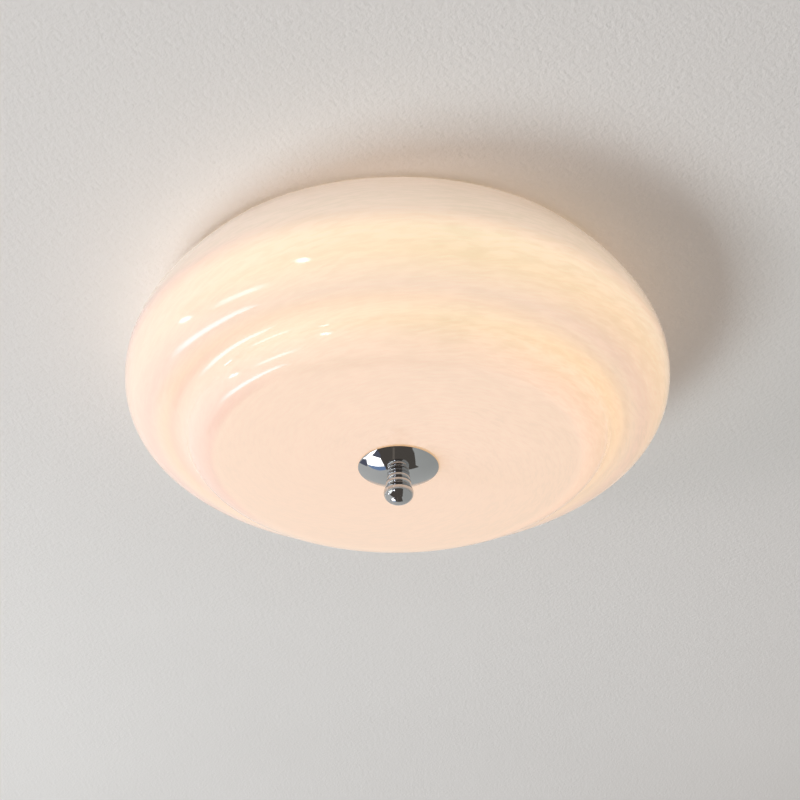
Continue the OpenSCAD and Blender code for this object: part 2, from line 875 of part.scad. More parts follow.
module driver_base() {
    cavity_top = lid_drop - over;
    color("white")
        difference() {
            union() {
                translate([0, driver_y, 0])
                    slab(driver_l, driver_w, lid_drop, floor_top - lid_drop);
                at_ears()
                    slab(ear_l + over, ear_w, floor_top - ear_t, ear_t);
            }
            difference() {
                translate([0, driver_y, 0])
                    slab(driver_l - 2 * driver_wall, driver_w - 2 * driver_wall, cavity_top,
                        floor_top - driver_wall - cavity_top);
                at_posts()
                    rod(pcb_post_r, pcb_under, pcb_post_h + over);
            }
            at_ears()
                rod(screw_hole_r, floor_top - ear_t - over, ear_t + 2 * over);
            for (side = [-1, 1]) {
                wire_hole(-1, side * wire_pair / 2, wire_entry_drop, wire_d);
                wire_hole(1, side * led_pair / 2, led_entry_drop, led_wire_d);
            }
        }
}

// Copies its children to the four posts under the driver's circuit board.
module at_posts() {
    for (x = [-1, 1])
        for (y = [-1, 1])
            translate([x * (driver_l / 2 - driver_wall - pcb_post_r),
                driver_y + y * (driver_w / 2 - driver_wall - pcb_post_r), 0])
                children();
}

// A hole for a wire through one end of the driver's case.
module wire_hole(end, y, drop, d) {
    translate([end * (driver_end_x - driver_wall / 2), driver_y + y, -drop])
        rotate([0, 90, 0])
            cylinder(r = d / 2 + screw_clear, h = driver_wall + 2 * over, center = true);
}

module driver_lid() {
    skirt_gap = 0.2;
    skirt_wall = 1.2;
    skirt_h = 2;
    skirt_l = driver_l - 2 * (driver_wall + skirt_gap);
    skirt_w = driver_w - 2 * (driver_wall + skirt_gap);
    inside_top = driver_top + driver_wall;
    skirt_end = lid_drop + skirt_h;
    color("whitesmoke")
        translate([0, driver_y, 0])
            difference() {
                union() {
                    slab(driver_l, driver_w, driver_top, driver_lid_h);
                    slab(skirt_l, skirt_w, inside_top, skirt_end - inside_top);
                }
                slab(skirt_l - 2 * skirt_wall, skirt_w - 2 * skirt_wall, inside_top,
                    skirt_end - inside_top + over);
            }
}

module driver_circuit_board() {
    color("darkgreen")
        translate([0, driver_y, 0])
            slab(driver_l - 2 * (driver_wall + pcb_gap), driver_w - 2 * (driver_wall + pcb_gap),
                pcb_top, pcb_t);
}

module driver_transformer() {
    color("goldenrod")
        translate([core_x, driver_y, 0]) {
            slab(core_size[0], core_size[1], pcb_top - core_size[2], core_size[2]);
            rod(coil_r, pcb_top - (core_size[2] + coil_h) / 2, coil_h);
        }
}

module driver_capacitors() {
    color("midnightblue") {
        translate([input_cap_x, driver_y, 0])
            rod(input_cap_r, pcb_top - input_cap_h, input_cap_h);
        for (side = [-1, 1])
            translate([output_cap_at[0], driver_y + side * output_cap_at[1], 0])
                rod(output_cap_r, pcb_top - output_cap_h, output_cap_h);
    }
}

module driver_screws() {
    color("gainsboro")
        at_ears()
            screw(screw_d, screw_head_d, screw_head_h, floor_top - ear_t,
                ear_t + pan_sheet + screw_tip, -1);
}

// ---- terminal block ----

module terminal_block() {
    well_gap = 0.9;
    well_r = pole_screw_d / 2 + well_gap;
    color("ivory")
        difference() {
            translate([0, -block_y, 0])
                slab(block_l, block_w, block_top, block_h);
            at_poles()
                pole_bore(insert_d / 2, block_w + 2 * over);
            at_pole_screws()
                rod(well_r, block_top - over, pole_drop - block_top + over);
            at_block_screws() {
                rod(block_screw_head_r + part_gap, block_top - over, block_recess_h + over);
                rod(block_screw_r + screw_clear, block_top, block_h + over);
            }
        }
}

// A level bore through a pole of the terminal block.
module pole_bore(r, length) {
    translate([0, 0, -pole_drop])
        rotate([90, 0, 0])
            cylinder(r = r, h = length, center = true);
}

module terminal_inserts() {
    color("goldenrod")
        difference() {
            at_poles()
                difference() {
                    pole_bore(insert_d / 2 - screw_clear, insert_l);
                    pole_bore(insert_bore_d / 2, insert_l + 2 * over);
                }
            at_pole_screws()
                rod(pole_screw_d / 2 + screw_clear, block_top, pole_drop - block_top);
        }
}

module terminal_screws() {
    sunk = 2;
    slit_h = 0.8;
    wire_gap = 0.25;
    head_drop = block_top + sunk;
    tip_drop = pole_drop - wire_d / 2 - wire_gap;
    color("silver")
        at_pole_screws()
            difference() {
                rod(pole_screw_d / 2, head_drop, tip_drop - head_drop);
                slab(pole_screw_d + over, pole_screw_d * 0.25, head_drop - over, over + slit_h);
            }
}

module terminal_mount_screws() {
    seat = block_top + block_recess_h;
    color("gainsboro")
        at_block_screws()
            screw(block_screw_r * 2, block_screw_head_r * 2, block_screw_head_h, seat,
                pan_depth + screw_tip - seat, -1);
}

// ---- wires, grommet and earth ----

module live_wire() {
    color("saddlebrown")
        wire(one_of_pair(mains_route, 1), wire_d / 2, [0, 0, 1]);
}

module neutral_wire() {
    color("royalblue")
        wire(one_of_pair(mains_route, -1), wire_d / 2, [0, 0, 1]);
}

module earth_wire() {
    color("limegreen")
        wire(earth_route, wire_d / 2, [0, 0, 1]);
}

module led_positive_wire() {
    color("red")
        wire(one_of_pair(led_route, 1), led_wire_d / 2, [1, 1, 0.2]);
}

module led_negative_wire() {
    color("black")
        wire(one_of_pair(led_route, -1), led_wire_d / 2, [1, 1, 0.2]);
}

module wire_grommet() {
    bore_r = led_wire_d + 1;
    neck_r = grommet_hole_d / 2;
    flange_w = 1.7;
    flange_r = neck_r + flange_w;
    flange_t = 1.2;
    color("black")
        translate(concat(grommet_at, 0))
            lathe([[bore_r, floor_top - flange_t], [flange_r, floor_top - flange_t],
                [flange_r, floor_top], [neck_r, floor_top], [neck_r, pan_depth],
                [flange_r, pan_depth], [flange_r, pan_depth + flange_t],
                [bore_r, pan_depth + flange_t]]);
}

module earth_tab() {
    eye_w = 2.4;
    tab_r = earth_screw_d / 2 + eye_w;
    color("gold")
        difference() {
            union() {
                translate(concat(earth_at, 0))
                    rod(tab_r, floor_top - tab_t, tab_t);
                translate([barrel_x, earth_at[1], 0])
                    slab(2 * tab_t + barrel_d, barrel_d, floor_top - tab_t, tab_t);
                translate([barrel_x - tab_barrel_l, earth_at[1], -floor_top + barrel_d / 2])
                    rotate([0, 90, 0])
                        cylinder(r = barrel_d / 2, h = tab_barrel_l);
            }
            translate(concat(earth_at, 0))
                rod(earth_screw_d / 2 + screw_clear, floor_top - tab_t - over, tab_t + 2 * over);
            translate([barrel_x - tab_barrel_l - over, earth_at[1], -floor_top + barrel_d / 2])
                rotate([0, 90, 0])
                    cylinder(r = wire_d / 2 + screw_clear, h = tab_barrel_l + 2 * over);
        }
}

module earth_screw() {
    color("forestgreen")
        translate(concat(earth_at, 0))
            screw(earth_screw_d, earth_head_d, earth_screw_d * 0.6, floor_top - tab_t,
                tab_t + pan_sheet + screw_tip, -1);
}

// ---- shade ----

module glass_shade() {
    outer = glass_outer();
    inner = inset_outline(outer, shade_wall);
    color("bisque")
        lathe(concat(outer, [for (i = [len(inner) - 1:-1:0]) inner[i]],
            [[rim_inner_r, rim_gap]]));
}

module shade_bush() {
    bore_r = rod_r + part_gap;
    sleeve_r = hole_r - screw_clear;
    flange_r = bush_flange_d / 2;
    color("gainsboro")
        lathe([[bore_r, bush_top], [flange_r, bush_top], [flange_r, seat_drop],
            [sleeve_r, seat_drop], [sleeve_r, glass_drop], [bore_r, glass_drop]]);
}

module shade_washer() {
    color("gainsboro")
        ring(washer_d / 2, rod_r + part_gap, washer_drop, washer_t);
}

// ---- cap and finial ----

module finial_cap() {
    cap_r = cap_d / 2;
    flat_r = cap_flat_d / 2;
    rise = (cap_r * cap_r - flat_r * flat_r - cap_h * cap_h) / (2 * cap_h);
    dome_r = norm([cap_r, rise]);
    dome_mid = [0, cap_rim_drop - rise];
    inner_r = dome_r - cap_wall;
    bore_r = rod_r + part_gap;
    rim_turn = atan2(rise, cap_r);
    top_turn = atan2(rise + cap_h, flat_r);
    inner_rim_turn = asin(rise / inner_r);
    inner_top_turn = asin((rise + cap_h - cap_wall) / inner_r);
    color("silver")
        lathe(concat(
            arc(dome_mid, dome_r, dome_r, rim_turn, top_turn, 14),
            [[bore_r, collar_drop], [bore_r, collar_drop - cap_wall]],
            arc(dome_mid, inner_r, inner_r, inner_top_turn, inner_rim_turn, 14)));
}

module finial_collar() {
    edge_r = collar_d / 2 - ring_bulge;
    bore_r = rod_r + part_gap;
    color("silver")
        lathe(concat([[bore_r, collar_drop]],
            arc([edge_r, collar_drop + collar_h / 2], ring_bulge, collar_h / 2, -90, 90, 8),
            [[bore_r, collar_drop + collar_h]]));
}

module finial_ball() {
    bore_r = rod_r + thread_clear;
    color("silver")
        lathe(concat([[bore_r, neck_drop]],
            arc([neck_foot_r, neck_drop + neck_h / 2], ring_bulge, neck_h / 2, -90, 90, 8),
            arc([0, ball_mid_drop], ball_r, ball_half_h, -ball_top_angle, 90, 20),
            [[0, neck_drop + bore_depth], [bore_r, neck_drop + bore_depth]]));
}

ceiling_bracket();
mounting_studs();
stud_lock_nuts();
pan_gasket();
chassis_pan();
stud_washers();
cap_nuts();
center_rod();
rod_lock_washer();
rod_upper_nut();
rod_lower_washer();
rod_lower_nut();
shade_stop_nut();
shade_stop_disc();
led_board();
led_spacers();
led_board_screws();
led_chips();
led_lenses();
led_socket();
led_plug();
driver_base();
driver_lid();
driver_circuit_board();
driver_transformer();
driver_capacitors();
driver_screws();
terminal_block();
terminal_inserts();
terminal_screws();
terminal_mount_screws();
live_wire();
neutral_wire();
earth_wire();
led_positive_wire();
led_negative_wire();
wire_grommet();
earth_tab();
earth_screw();
glass_shade();
shade_bush();
shade_washer();
finial_cap();
finial_collar();
finial_ball();
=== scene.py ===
"""Looks of the flush mount ceiling light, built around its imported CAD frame.

Metres, +Z up, and the ceiling is at z = 0. Sizes taken over from the CAD are in millimetres, with
drops counted down from the ceiling.
"""
import json
import math

import bmesh
import bpy
from mathutils import Matrix, Vector

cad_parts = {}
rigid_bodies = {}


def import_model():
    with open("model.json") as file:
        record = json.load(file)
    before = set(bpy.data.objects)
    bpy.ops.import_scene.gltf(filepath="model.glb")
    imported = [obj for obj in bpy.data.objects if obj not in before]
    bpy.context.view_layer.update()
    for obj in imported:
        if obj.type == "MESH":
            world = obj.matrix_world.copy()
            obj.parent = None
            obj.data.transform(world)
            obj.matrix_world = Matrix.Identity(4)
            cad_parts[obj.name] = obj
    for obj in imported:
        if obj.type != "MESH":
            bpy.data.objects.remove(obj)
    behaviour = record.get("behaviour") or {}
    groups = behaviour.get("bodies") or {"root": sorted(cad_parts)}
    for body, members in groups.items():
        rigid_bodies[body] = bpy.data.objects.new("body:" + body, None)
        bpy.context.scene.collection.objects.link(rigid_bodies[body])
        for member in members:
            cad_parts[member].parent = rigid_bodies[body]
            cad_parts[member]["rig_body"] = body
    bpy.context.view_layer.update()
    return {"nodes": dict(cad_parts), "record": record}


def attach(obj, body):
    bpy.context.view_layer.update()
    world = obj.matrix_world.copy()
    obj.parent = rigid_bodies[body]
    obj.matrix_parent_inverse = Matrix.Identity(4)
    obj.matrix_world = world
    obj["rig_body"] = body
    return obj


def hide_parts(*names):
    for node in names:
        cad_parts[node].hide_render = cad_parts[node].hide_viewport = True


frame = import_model()
nodes = frame["nodes"]
slot_of = {part["node"]: part["material_slot"] for part in frame["record"]["subparts"]}
MM = 0.001

# ---------------------------------------------------------------- sizes in millimetres, as in the CAD
# glass
SHADE_R = 200.0
WALL = 4.0
RIM_GAP = 3.0
RIM_R = 178.5
SHOULDER_H = 50.5
BULGE_H = 39.5
GROOVE_INSET = 31.5
GROOVE_H = 8.5
TIER_INSET = 48.0
TIER_H = 14.0
FLAT_INSET = 68.5
GLASS_DROP = 117.5
SEAT_R = 36.0
HOLE_R = 7.0
# headings of its outline, in degrees: 90 is straight down and 180 is level towards the axis
RIM_ANGLE = 56.5
WIDE_ANGLE = 90.0
GROOVE_ANGLE = 175.0
TIER_ANGLE = 108.0
FLAT_ANGLE = 175.3
SEAT_ANGLE = 180.0
# rod
ROD_R = 5.0
ROD_BORE_R = 3.8
ROD_TOP = 36.0
ROD_END = 140.4
# cap, collar and finial
CAP_R = 29.0
CAP_H = 6.4
CAP_WALL = 1.0
CAP_RIM = 118.6
CAP_FLAT_R = 8.7
BORE_R = 5.3
COLLAR_R = 8.3
COLLAR_TOP = 125.0
COLLAR_H = 4.7
NECK_R = 9.1
NECK_TOP = 130.0
NECK_H = 4.6
RING_BULGE = 0.9
BALL_R = 10.7
BALL_HALF_H = 8.2
FINIAL_BORE = 13.0
THREAD_CLEAR = 0.05
# pan, LED board, driver and terminal block
PAN_OPEN_R = 168.0
FLOOR_TOP = 47.0
BOARD_UNDER = 53.5
DRIVER_Y = 88.0
DRIVER_END = 56.0
BLOCK_Y = 62.0
POLE_PITCH = 10.0
POLE_DROP = 40.7


# ---------------------------------------------------------------- shader nodes
class Shader:
    """A material under construction. Its methods add nodes and return an output socket, apart from
    shade and surface, which finish the material and return it."""

    def __init__(self, name):
        self.mat = bpy.data.materials.new(name)
        self.mat.use_nodes = True
        self.tree = self.mat.node_tree
        self.tree.nodes.clear()
        self.out = self.tree.nodes.new("ShaderNodeOutputMaterial")

    def node(self, kind, inputs=(), **props):
        n = self.tree.nodes.new(kind)
        for key, value in props.items():
            setattr(n, key, value)
        for key, value in dict(inputs).items():
            self.put(n.inputs[key], value)
        return n

    def put(self, socket, value):
        if isinstance(value, bpy.types.NodeSocket):
            self.tree.links.new(value, socket)
        elif socket.type == "RGBA":
            socket.default_value = tuple(value)[:3] + (1.0,)
        else:
            socket.default_value = value

    def math(self, operation, a, b=0.0, c=0.0):
        return self.node("ShaderNodeMath", {0: a, 1: b, 2: c}, operation=operation).outputs[0]

    def vector(self, operation, a, b=(0, 0, 0)):
        n = self.node("ShaderNodeVectorMath", {0: a, 1: b}, operation=operation)
        return n.outputs["Value" if operation in ("LENGTH", "DOT_PRODUCT") else "Vector"]

    def point(self):
        return self.node("ShaderNodeTexCoord").outputs["Object"]

    def split(self, v):
        return self.node("ShaderNodeSeparateXYZ", {0: v}).outputs[:3]

    def join(self, x, y, z):
        return self.node("ShaderNodeCombineXYZ", {0: x, 1: y, 2: z}).outputs[0]

    def attribute(self, name):
        return self.node("ShaderNodeAttribute", attribute_name=name).outputs["Fac"]

    def noise(self, vector, scale, detail=2.0, rough=0.5, distortion=0.0):
        n = self.node("ShaderNodeTexNoise", {"Vector": vector, "Scale": scale, "Detail": detail,
                                             "Roughness": rough, "Distortion": distortion})
        return n.outputs["Fac"]

    def cell_tone(self, vector, scale):
        """A grey of its own for each cell."""
        return self.split(self.node("ShaderNodeTexVoronoi",
                                    {"Vector": vector, "Scale": scale}).outputs["Color"])[0]

    def ramp(self, value, stops):
        n = self.node("ShaderNodeValToRGB", {0: value})
        items = n.color_ramp.elements
        while len(items) < len(stops):
            items.new(0.5)
        for item, (place, color) in zip(items, stops):
            item.position = place
            item.color = tuple(color) + (1.0,)
        return n.outputs[0]

    def span(self, value, low, high, to_low=0.0, to_high=1.0, smooth=False):
        n = self.node("ShaderNodeMapRange", {"Value": value, "From Min": low, "From Max": high,
                                             "To Min": to_low, "To Max": to_high})
        n.interpolation_type = "SMOOTHSTEP" if smooth else "LINEAR"
        return n.outputs[0]

    def mix(self, factor, a, b):
        return self.node("ShaderNodeMix", {0: factor, 6: a, 7: b}, data_type="RGBA").outputs[2]

    def bump(self, height, strength, distance, **inputs):
        return self.node("ShaderNodeBump", {"Height": height, "Strength": strength,
                                            "Distance": distance, **inputs}).outputs[0]

    def emission(self, color, strength=1.0):
        return self.node("ShaderNodeEmission", {"Color": color, "Strength": strength}).outputs[0]

    def clear(self):
        return self.node("ShaderNodeBsdfTransparent").outputs[0]

    def clear_glow(self, color, strength):
        """Light from a surface that is clear itself."""
        return self.node("ShaderNodeAddShader", {0: self.emission(color, strength),
                                                 1: self.clear()}).outputs[0]

    def mix_shader(self, share, a, b):
        return self.node("ShaderNodeMixShader", {0: share, 1: a, 2: b}).outputs[0]

    def backfacing(self):
        return self.node("ShaderNodeNewGeometry").outputs["Backfacing"]

    def shade(self, shader):
        self.tree.links.new(shader, self.out.inputs[0])
        return self.mat

    def surface(self, **inputs):
        """A Principled surface; names of its inputs are written with _ for each space."""
        named = {key.replace("_", " "): value for key, value in inputs.items()}
        return self.shade(self.node("ShaderNodeBsdfPrincipled", named).outputs[0])


# ---------------------------------------------------------------- outlines of (radius, drop) points
def heading(degrees):
    return Vector((math.cos(math.radians(degrees)), math.sin(math.radians(degrees))))


def curve(start, leave, start_pull, end, arrive, end_pull, n):
    """n points of a cubic from start, along leave, to end, along arrive, without end itself."""
    start, end = Vector(start), Vector(end)
    a, b = start + leave * start_pull, end - arrive * end_pull
    points = []
    for i in range(n):
        t = i / n
        s = 1 - t
        points.append(start * s ** 3 + a * (3 * s * s * t) + b * (3 * s * t * t) + end * t ** 3)
    return points


def arc(centre, rx, ry, start, end, n):
    turn = [math.radians(start + (end - start) * i / n) for i in range(n + 1)]
    return [Vector((centre[0] + rx * math.cos(t), centre[1] + ry * math.sin(t))) for t in turn]


def glass_outline(k):
    """The outside of the glass from the rim to the seat, with k points for each step of the CAD,
    and the number of the point at each corner: rim, wide, groove, tier, flat and seat."""
    rim = (RIM_R, RIM_GAP)
    wide = (SHADE_R, RIM_GAP + SHOULDER_H)
    groove = (SHADE_R - GROOVE_INSET, wide[1] + BULGE_H)
    tier = (SHADE_R - TIER_INSET, groove[1] + GROOVE_H)
    flat = (SHADE_R - FLAT_INSET, tier[1] + TIER_H)
    seat = (SEAT_R, GLASS_DROP)
    third = (flat[0] - seat[0]) / 3
    # for each curve: its start with the heading and pull there, its end likewise, its CAD steps
    curves = [
        (rim, RIM_ANGLE, SHOULDER_H * 0.25, wide, WIDE_ANGLE, SHOULDER_H * 0.38, 12),
        (wide, WIDE_ANGLE, BULGE_H * 0.83, groove, GROOVE_ANGLE, GROOVE_INSET * 0.24, 18),
        (groove, GROOVE_ANGLE, GROOVE_H * 0.88, tier, TIER_ANGLE, GROOVE_H * 0.48, 6),
        (tier, TIER_ANGLE, TIER_H * 0.59, flat, FLAT_ANGLE, TIER_H * 0.69, 8),
        (flat, FLAT_ANGLE, third, seat, SEAT_ANGLE, third, 6),
    ]
    points, corners = [], [0]
    for start, leave, start_pull, end, arrive, end_pull, steps in curves:
        points += curve(start, heading(leave), start_pull, end, heading(arrive), end_pull, steps * k)
        corners.append(len(points))
    return points + [Vector(seat)], corners


def offset(points, wall):
    """The same outline moved inwards by a wall."""
    moved = []
    for i, p in enumerate(points):
        t = (points[min(i + 1, len(points) - 1)] - points[max(i - 1, 0)]).normalized()
        moved.append(p - Vector((t.y, -t.x)) * wall)
    return moved


def along(points):
    """Length from the first point to each point, in millimetres."""
    total, lengths = 0.0, []
    for i, p in enumerate(points):
        total += (p - points[i - 1]).length if i else 0.0
        lengths.append(total)
    return lengths


# ---------------------------------------------------------------- meshes
def add_mesh(name, verts, faces, material, node, crease=35.0, weighted=False):
    """A piece in millimetres that stands for a CAD node; edges sharper than crease stay sharp."""
    mesh = bpy.data.meshes.new(name)
    mesh.from_pydata([Vector(v) * MM for v in verts], [], faces)
    mesh.validate()
    clean = bmesh.new()
    clean.from_mesh(mesh)
    bmesh.ops.recalc_face_normals(clean, faces=clean.faces)
    clean.to_mesh(mesh)
    clean.free()
    mesh.polygons.foreach_set("use_smooth", [True] * len(mesh.polygons))
    mesh.set_sharp_from_angle(angle=math.radians(crease))
    mesh.materials.append(material)
    piece = bpy.data.objects.new(name, mesh)
    bpy.context.scene.collection.objects.link(piece)
    if weighted:
        piece.modifiers.new("even_shading", "WEIGHTED_NORMAL").keep_sharp = True
    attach(piece, nodes[node]["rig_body"])
    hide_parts(node)
    return piece


def point_values(piece, name, values):
    piece.data.attributes.new(name, "FLOAT", "POINT").data.foreach_set("value", values)


def lathe_mesh(outline, steps, dent=None):
    """Vertices and faces of a closed outline turned about the axis. A point on the axis becomes
    one vertex. dent gives another radius for a radius, drop and angle."""
    verts, rows, faces = [], [], []
    for r, drop in outline:
        if r < 1e-6:
            rows.append([len(verts)] * steps)
            verts.append((0.0, 0.0, -drop))
            continue
        rows.append(list(range(len(verts), len(verts) + steps)))
        for k in range(steps):
            a = 2 * math.pi * k / steps
            out = dent(r, drop, a) if dent else r
            verts.append((out * math.cos(a), out * math.sin(a), -drop))
    for a, b in zip(rows, rows[1:] + rows[:1]):
        for k in range(steps):
            m = (k + 1) % steps
            face = list(dict.fromkeys([a[k], a[m], b[m], b[k]]))
            if len(face) > 2:
                faces.append(face)
    return verts, faces


def smooth_path(points, n):
    """A smooth curve through the points, with n steps between neighbours."""
    points = [Vector(p) for p in points]
    last = len(points) - 1
    path = []
    for i in range(last):
        a, b, c, d = points[max(i - 1, 0)], points[i], points[i + 1], points[min(i + 2, last)]
        for j in range(n):
            t = j / n
            path.append(b + (c - a) * (t / 2) + (2 * a - 5 * b + 4 * c - d) * (t * t / 2)
                        + (3 * b - a - 3 * c + d) * (t ** 3 / 2))
    return path + [points[last]]


def tube_mesh(path, radius, sides):
    """A round wire swept along a path, and each vertex's place around it, 0 to 1 and back."""
    verts, around, faces = [], [], []
    side = Vector((0, 0, 1)).cross(path[1] - path[0]).normalized()
    for i, p in enumerate(path):
        ahead = (path[min(i + 1, len(path) - 1)] - path[max(i - 1, 0)]).normalized()
        side = (side - ahead * side.dot(ahead)).normalized()
        up = ahead.cross(side)
        for k in range(sides):
            a = 2 * math.pi * k / sides
            verts.append(p + (side * math.cos(a) + up * math.sin(a)) * radius)
            around.append(abs(2 * k / sides - 1))
    for i in range(len(path) - 1):
        for k in range(sides):
            m = (k + 1) % sides
            faces.append((i * sides + k, i * sides + m, (i + 1) * sides + m, (i + 1) * sides + k))
    faces.append(list(range(sides)))
    faces.append(list(range((len(path) - 1) * sides, len(path) * sides)))
    return verts, faces, around


# ---------------------------------------------------------------- materials
# how far the strokes of the opal wander up and down, in millimetres
SWAY = 13.0
# how far apart in the noise the strokes of the two halves lie, so that they aren't alike
HALVES_APART = 20.0
# Light that leaves the lit opal, at places down the glass: from the rim, dim above the LED panel's
# reach, to the seat. Each place is a corner of the outline and a share of the way to the next one.
GLOW = [
    (0, 0.00, (0.55, 0.41, 0.29)),
    (0, 0.50, (0.54, 0.405, 0.275)),
    (0, 0.82, (0.59, 0.44, 0.29)),
    (0, 0.93, (0.62, 0.455, 0.295)),
    (1, 0.05, (0.75, 0.525, 0.32)),
    (1, 0.19, (0.795, 0.605, 0.35)),
    (1, 0.47, (0.79, 0.57, 0.30)),
    (1, 0.86, (0.67, 0.44, 0.235)),
    (2, 0.11, (0.69, 0.43, 0.195)),
    (2, 0.70, (0.77, 0.54, 0.275)),
    (3, 0.07, (0.795, 0.565, 0.325)),
    (3, 0.55, (0.715, 0.465, 0.25)),
    (4, 0.05, (0.65, 0.40, 0.195)),
    (4, 1.00, (0.655, 0.395, 0.195)),
]


def opal_glass(lengths, corners):
    """Lit opal glass with clouded strokes: a stroke lets less light out and shows whiter."""
    s = Shader("opal_glass")
    x, y, _ = s.split(s.point())
    from_axis = s.join(x, y, 0.0)
    radius = s.math("MAXIMUM", s.vector("LENGTH", from_axis), 1.0 * MM)
    out_x, out_y = s.math("DIVIDE", x, radius), s.math("DIVIDE", y, radius)
    reach = s.math("SQRT", s.math("DIVIDE", radius, SHADE_R * MM))
    turn_x, turn_y = s.math("MULTIPLY", out_x, reach), s.math("MULTIPLY", out_y, reach)
    # millimetres down the glass from its rim
    down = s.attribute("down")

    def turned(around, across, shift, bend=0.0):
        """Coordinates that run around the glass and down it, for strokes drawn out sideways."""
        return s.join(s.math("MULTIPLY", turn_x, around), s.math("MULTIPLY", turn_y, around),
                      s.math("ADD", s.math("MULTIPLY_ADD", down, across, shift), bend))

    sway = s.noise(turned(around=2.4, across=0.02, shift=3.0), scale=1.0)

    def brushed(around, across, swirl, shift):
        """Strokes that also spiral inwards. Each half of the glass has its own set, so that no
        stroke meets the place where the angle jumps, and the two sets fade into each other."""
        halves = []
        for sign in (1.0, -1.0):
            angle = s.math("ARCTAN2", s.math("MULTIPLY", y, sign), s.math("MULTIPLY", x, sign))
            bend = s.math("MULTIPLY_ADD", angle, swirl, s.math("MULTIPLY", sway, across * SWAY))
            place = turned(around, across, shift + HALVES_APART * sign, bend)
            halves.append(s.noise(place, scale=1.0, rough=0.6, distortion=0.2))
        share = s.span(out_x, -0.25, 0.25, smooth=True)
        return s.math("MULTIPLY_ADD", s.math("SUBTRACT", halves[0], halves[1]), share, halves[1])

    def painted_side_light(glow, facing, start, end, color, edge=0.2):
        """Painted light and shade on one side: the glow times a colour that fades in from start and
        end down the glass, and towards a direction. edge is the cosine of the angle from that
        direction at which it starts."""
        turned_to = s.math("DIVIDE", s.vector("DOT_PRODUCT", from_axis, facing), radius)
        off = s.math("ABSOLUTE", s.math("SUBTRACT", down, (start + end) / 2))
        share = s.math("MULTIPLY", s.span(turned_to, edge, 0.95, smooth=True),
                       s.span(off, (end - start) / 2, (end - start) * 0.36, smooth=True))
        return s.vector("MULTIPLY", glow, s.mix(share, (1.0, 1.0, 1.0), color))

    # how clouded the glass is: strokes, finer strokes and broad clouds, from about -1.8 to 1.8
    strokes = brushed(around=13.0, across=0.42, swirl=10.0, shift=0.0)
    fine = brushed(around=26.0, across=1.0, swirl=18.0, shift=11.0)
    cloud = s.noise(turned(around=3.0, across=0.035, shift=5.0), scale=1.0, detail=3.0, rough=0.55)
    mark = s.math("ADD", s.span(strokes, 0.36, 0.64, -1.0, 1.0, smooth=True),
                  s.span(fine, 0.3, 0.7, -0.5, 0.5))
    mark = s.math("MULTIPLY_ADD", s.span(cloud, 0.35, 0.65, -1.0, 1.0), 0.3, mark)
    stops = []
    for corner, share, color in GLOW:
        start, end = lengths[corners[corner]], lengths[corners[corner + 1]]
        stops.append(((start + (end - start) * share) / lengths[-1], color))
    glow = s.ramp(s.math("DIVIDE", down, lengths[-1]), stops)
    # painted shade: on the side of the windows, whose cool light falls on bulge and lower tier, the
    # glow is painted dimmer and warmer
    _, wide, groove, _, flat, _ = (lengths[corner] for corner in corners)
    windows, near_windows, away = (-0.99, 0.14, 0.0), (-0.995, -0.1, 0.0), (1.0, 0.0, 0.0)
    glow = painted_side_light(glow, windows, wide * 0.8, groove - 4.0, (0.94, 0.79, 0.78))
    glow = painted_side_light(glow, near_windows, groove, flat + 2.0, (0.93, 0.77, 0.72), edge=0.55)
    # painted light and shade on the other side: shoulder and lower tier glow a little brighter there,
    # and the groove a little less
    glow = painted_side_light(glow, away, -wide, wide * 1.05, (1.13, 1.11, 1.08))
    glow = painted_side_light(glow, away, wide, groove, (1.04, 0.965, 0.98))
    glow = painted_side_light(glow, away, groove - 16.0, groove + 7.0, (0.94, 0.92, 0.90))
    glow = painted_side_light(glow, away, groove + 3.0, flat + 3.0, (1.13, 1.05, 1.05))
    # the strokes show least towards the windows and on the far side
    depth = s.math("MULTIPLY", s.span(out_x, -0.9, 0.0, 0.7, 1.0),
                   s.span(out_y, -0.4, 0.7, 1.2, 0.7))
    faint = s.math("MULTIPLY", mark, depth)
    stroke = s.mix(s.span(faint, -2.4, 2.4), (1.11, 1.10, 1.18), (0.89, 0.90, 0.82))
    glow = s.vector("MULTIPLY", glow, stroke)
    white = s.mix(s.span(mark, -1.6, 1.6), (0.44, 0.44, 0.475), (0.45, 0.45, 0.49))
    ripple = s.noise(turned(around=3.0, across=0.05, shift=9.0), scale=1.0)
    polished = s.bump(ripple, strength=0.2, distance=0.5 * MM)
    # the gloss is the clear outer skin, through which the light comes out
    return s.surface(Base_Color=white, Roughness=0.5, Specular_IOR_Level=0.0, Normal=polished,
                     Coat_Weight=1.0, Coat_IOR=1.5, Coat_Normal=polished,
                     Coat_Roughness=s.span(fine, 0.3, 0.7, 0.04, 0.07),
                     Emission_Color=glow, Emission_Strength=1.0)


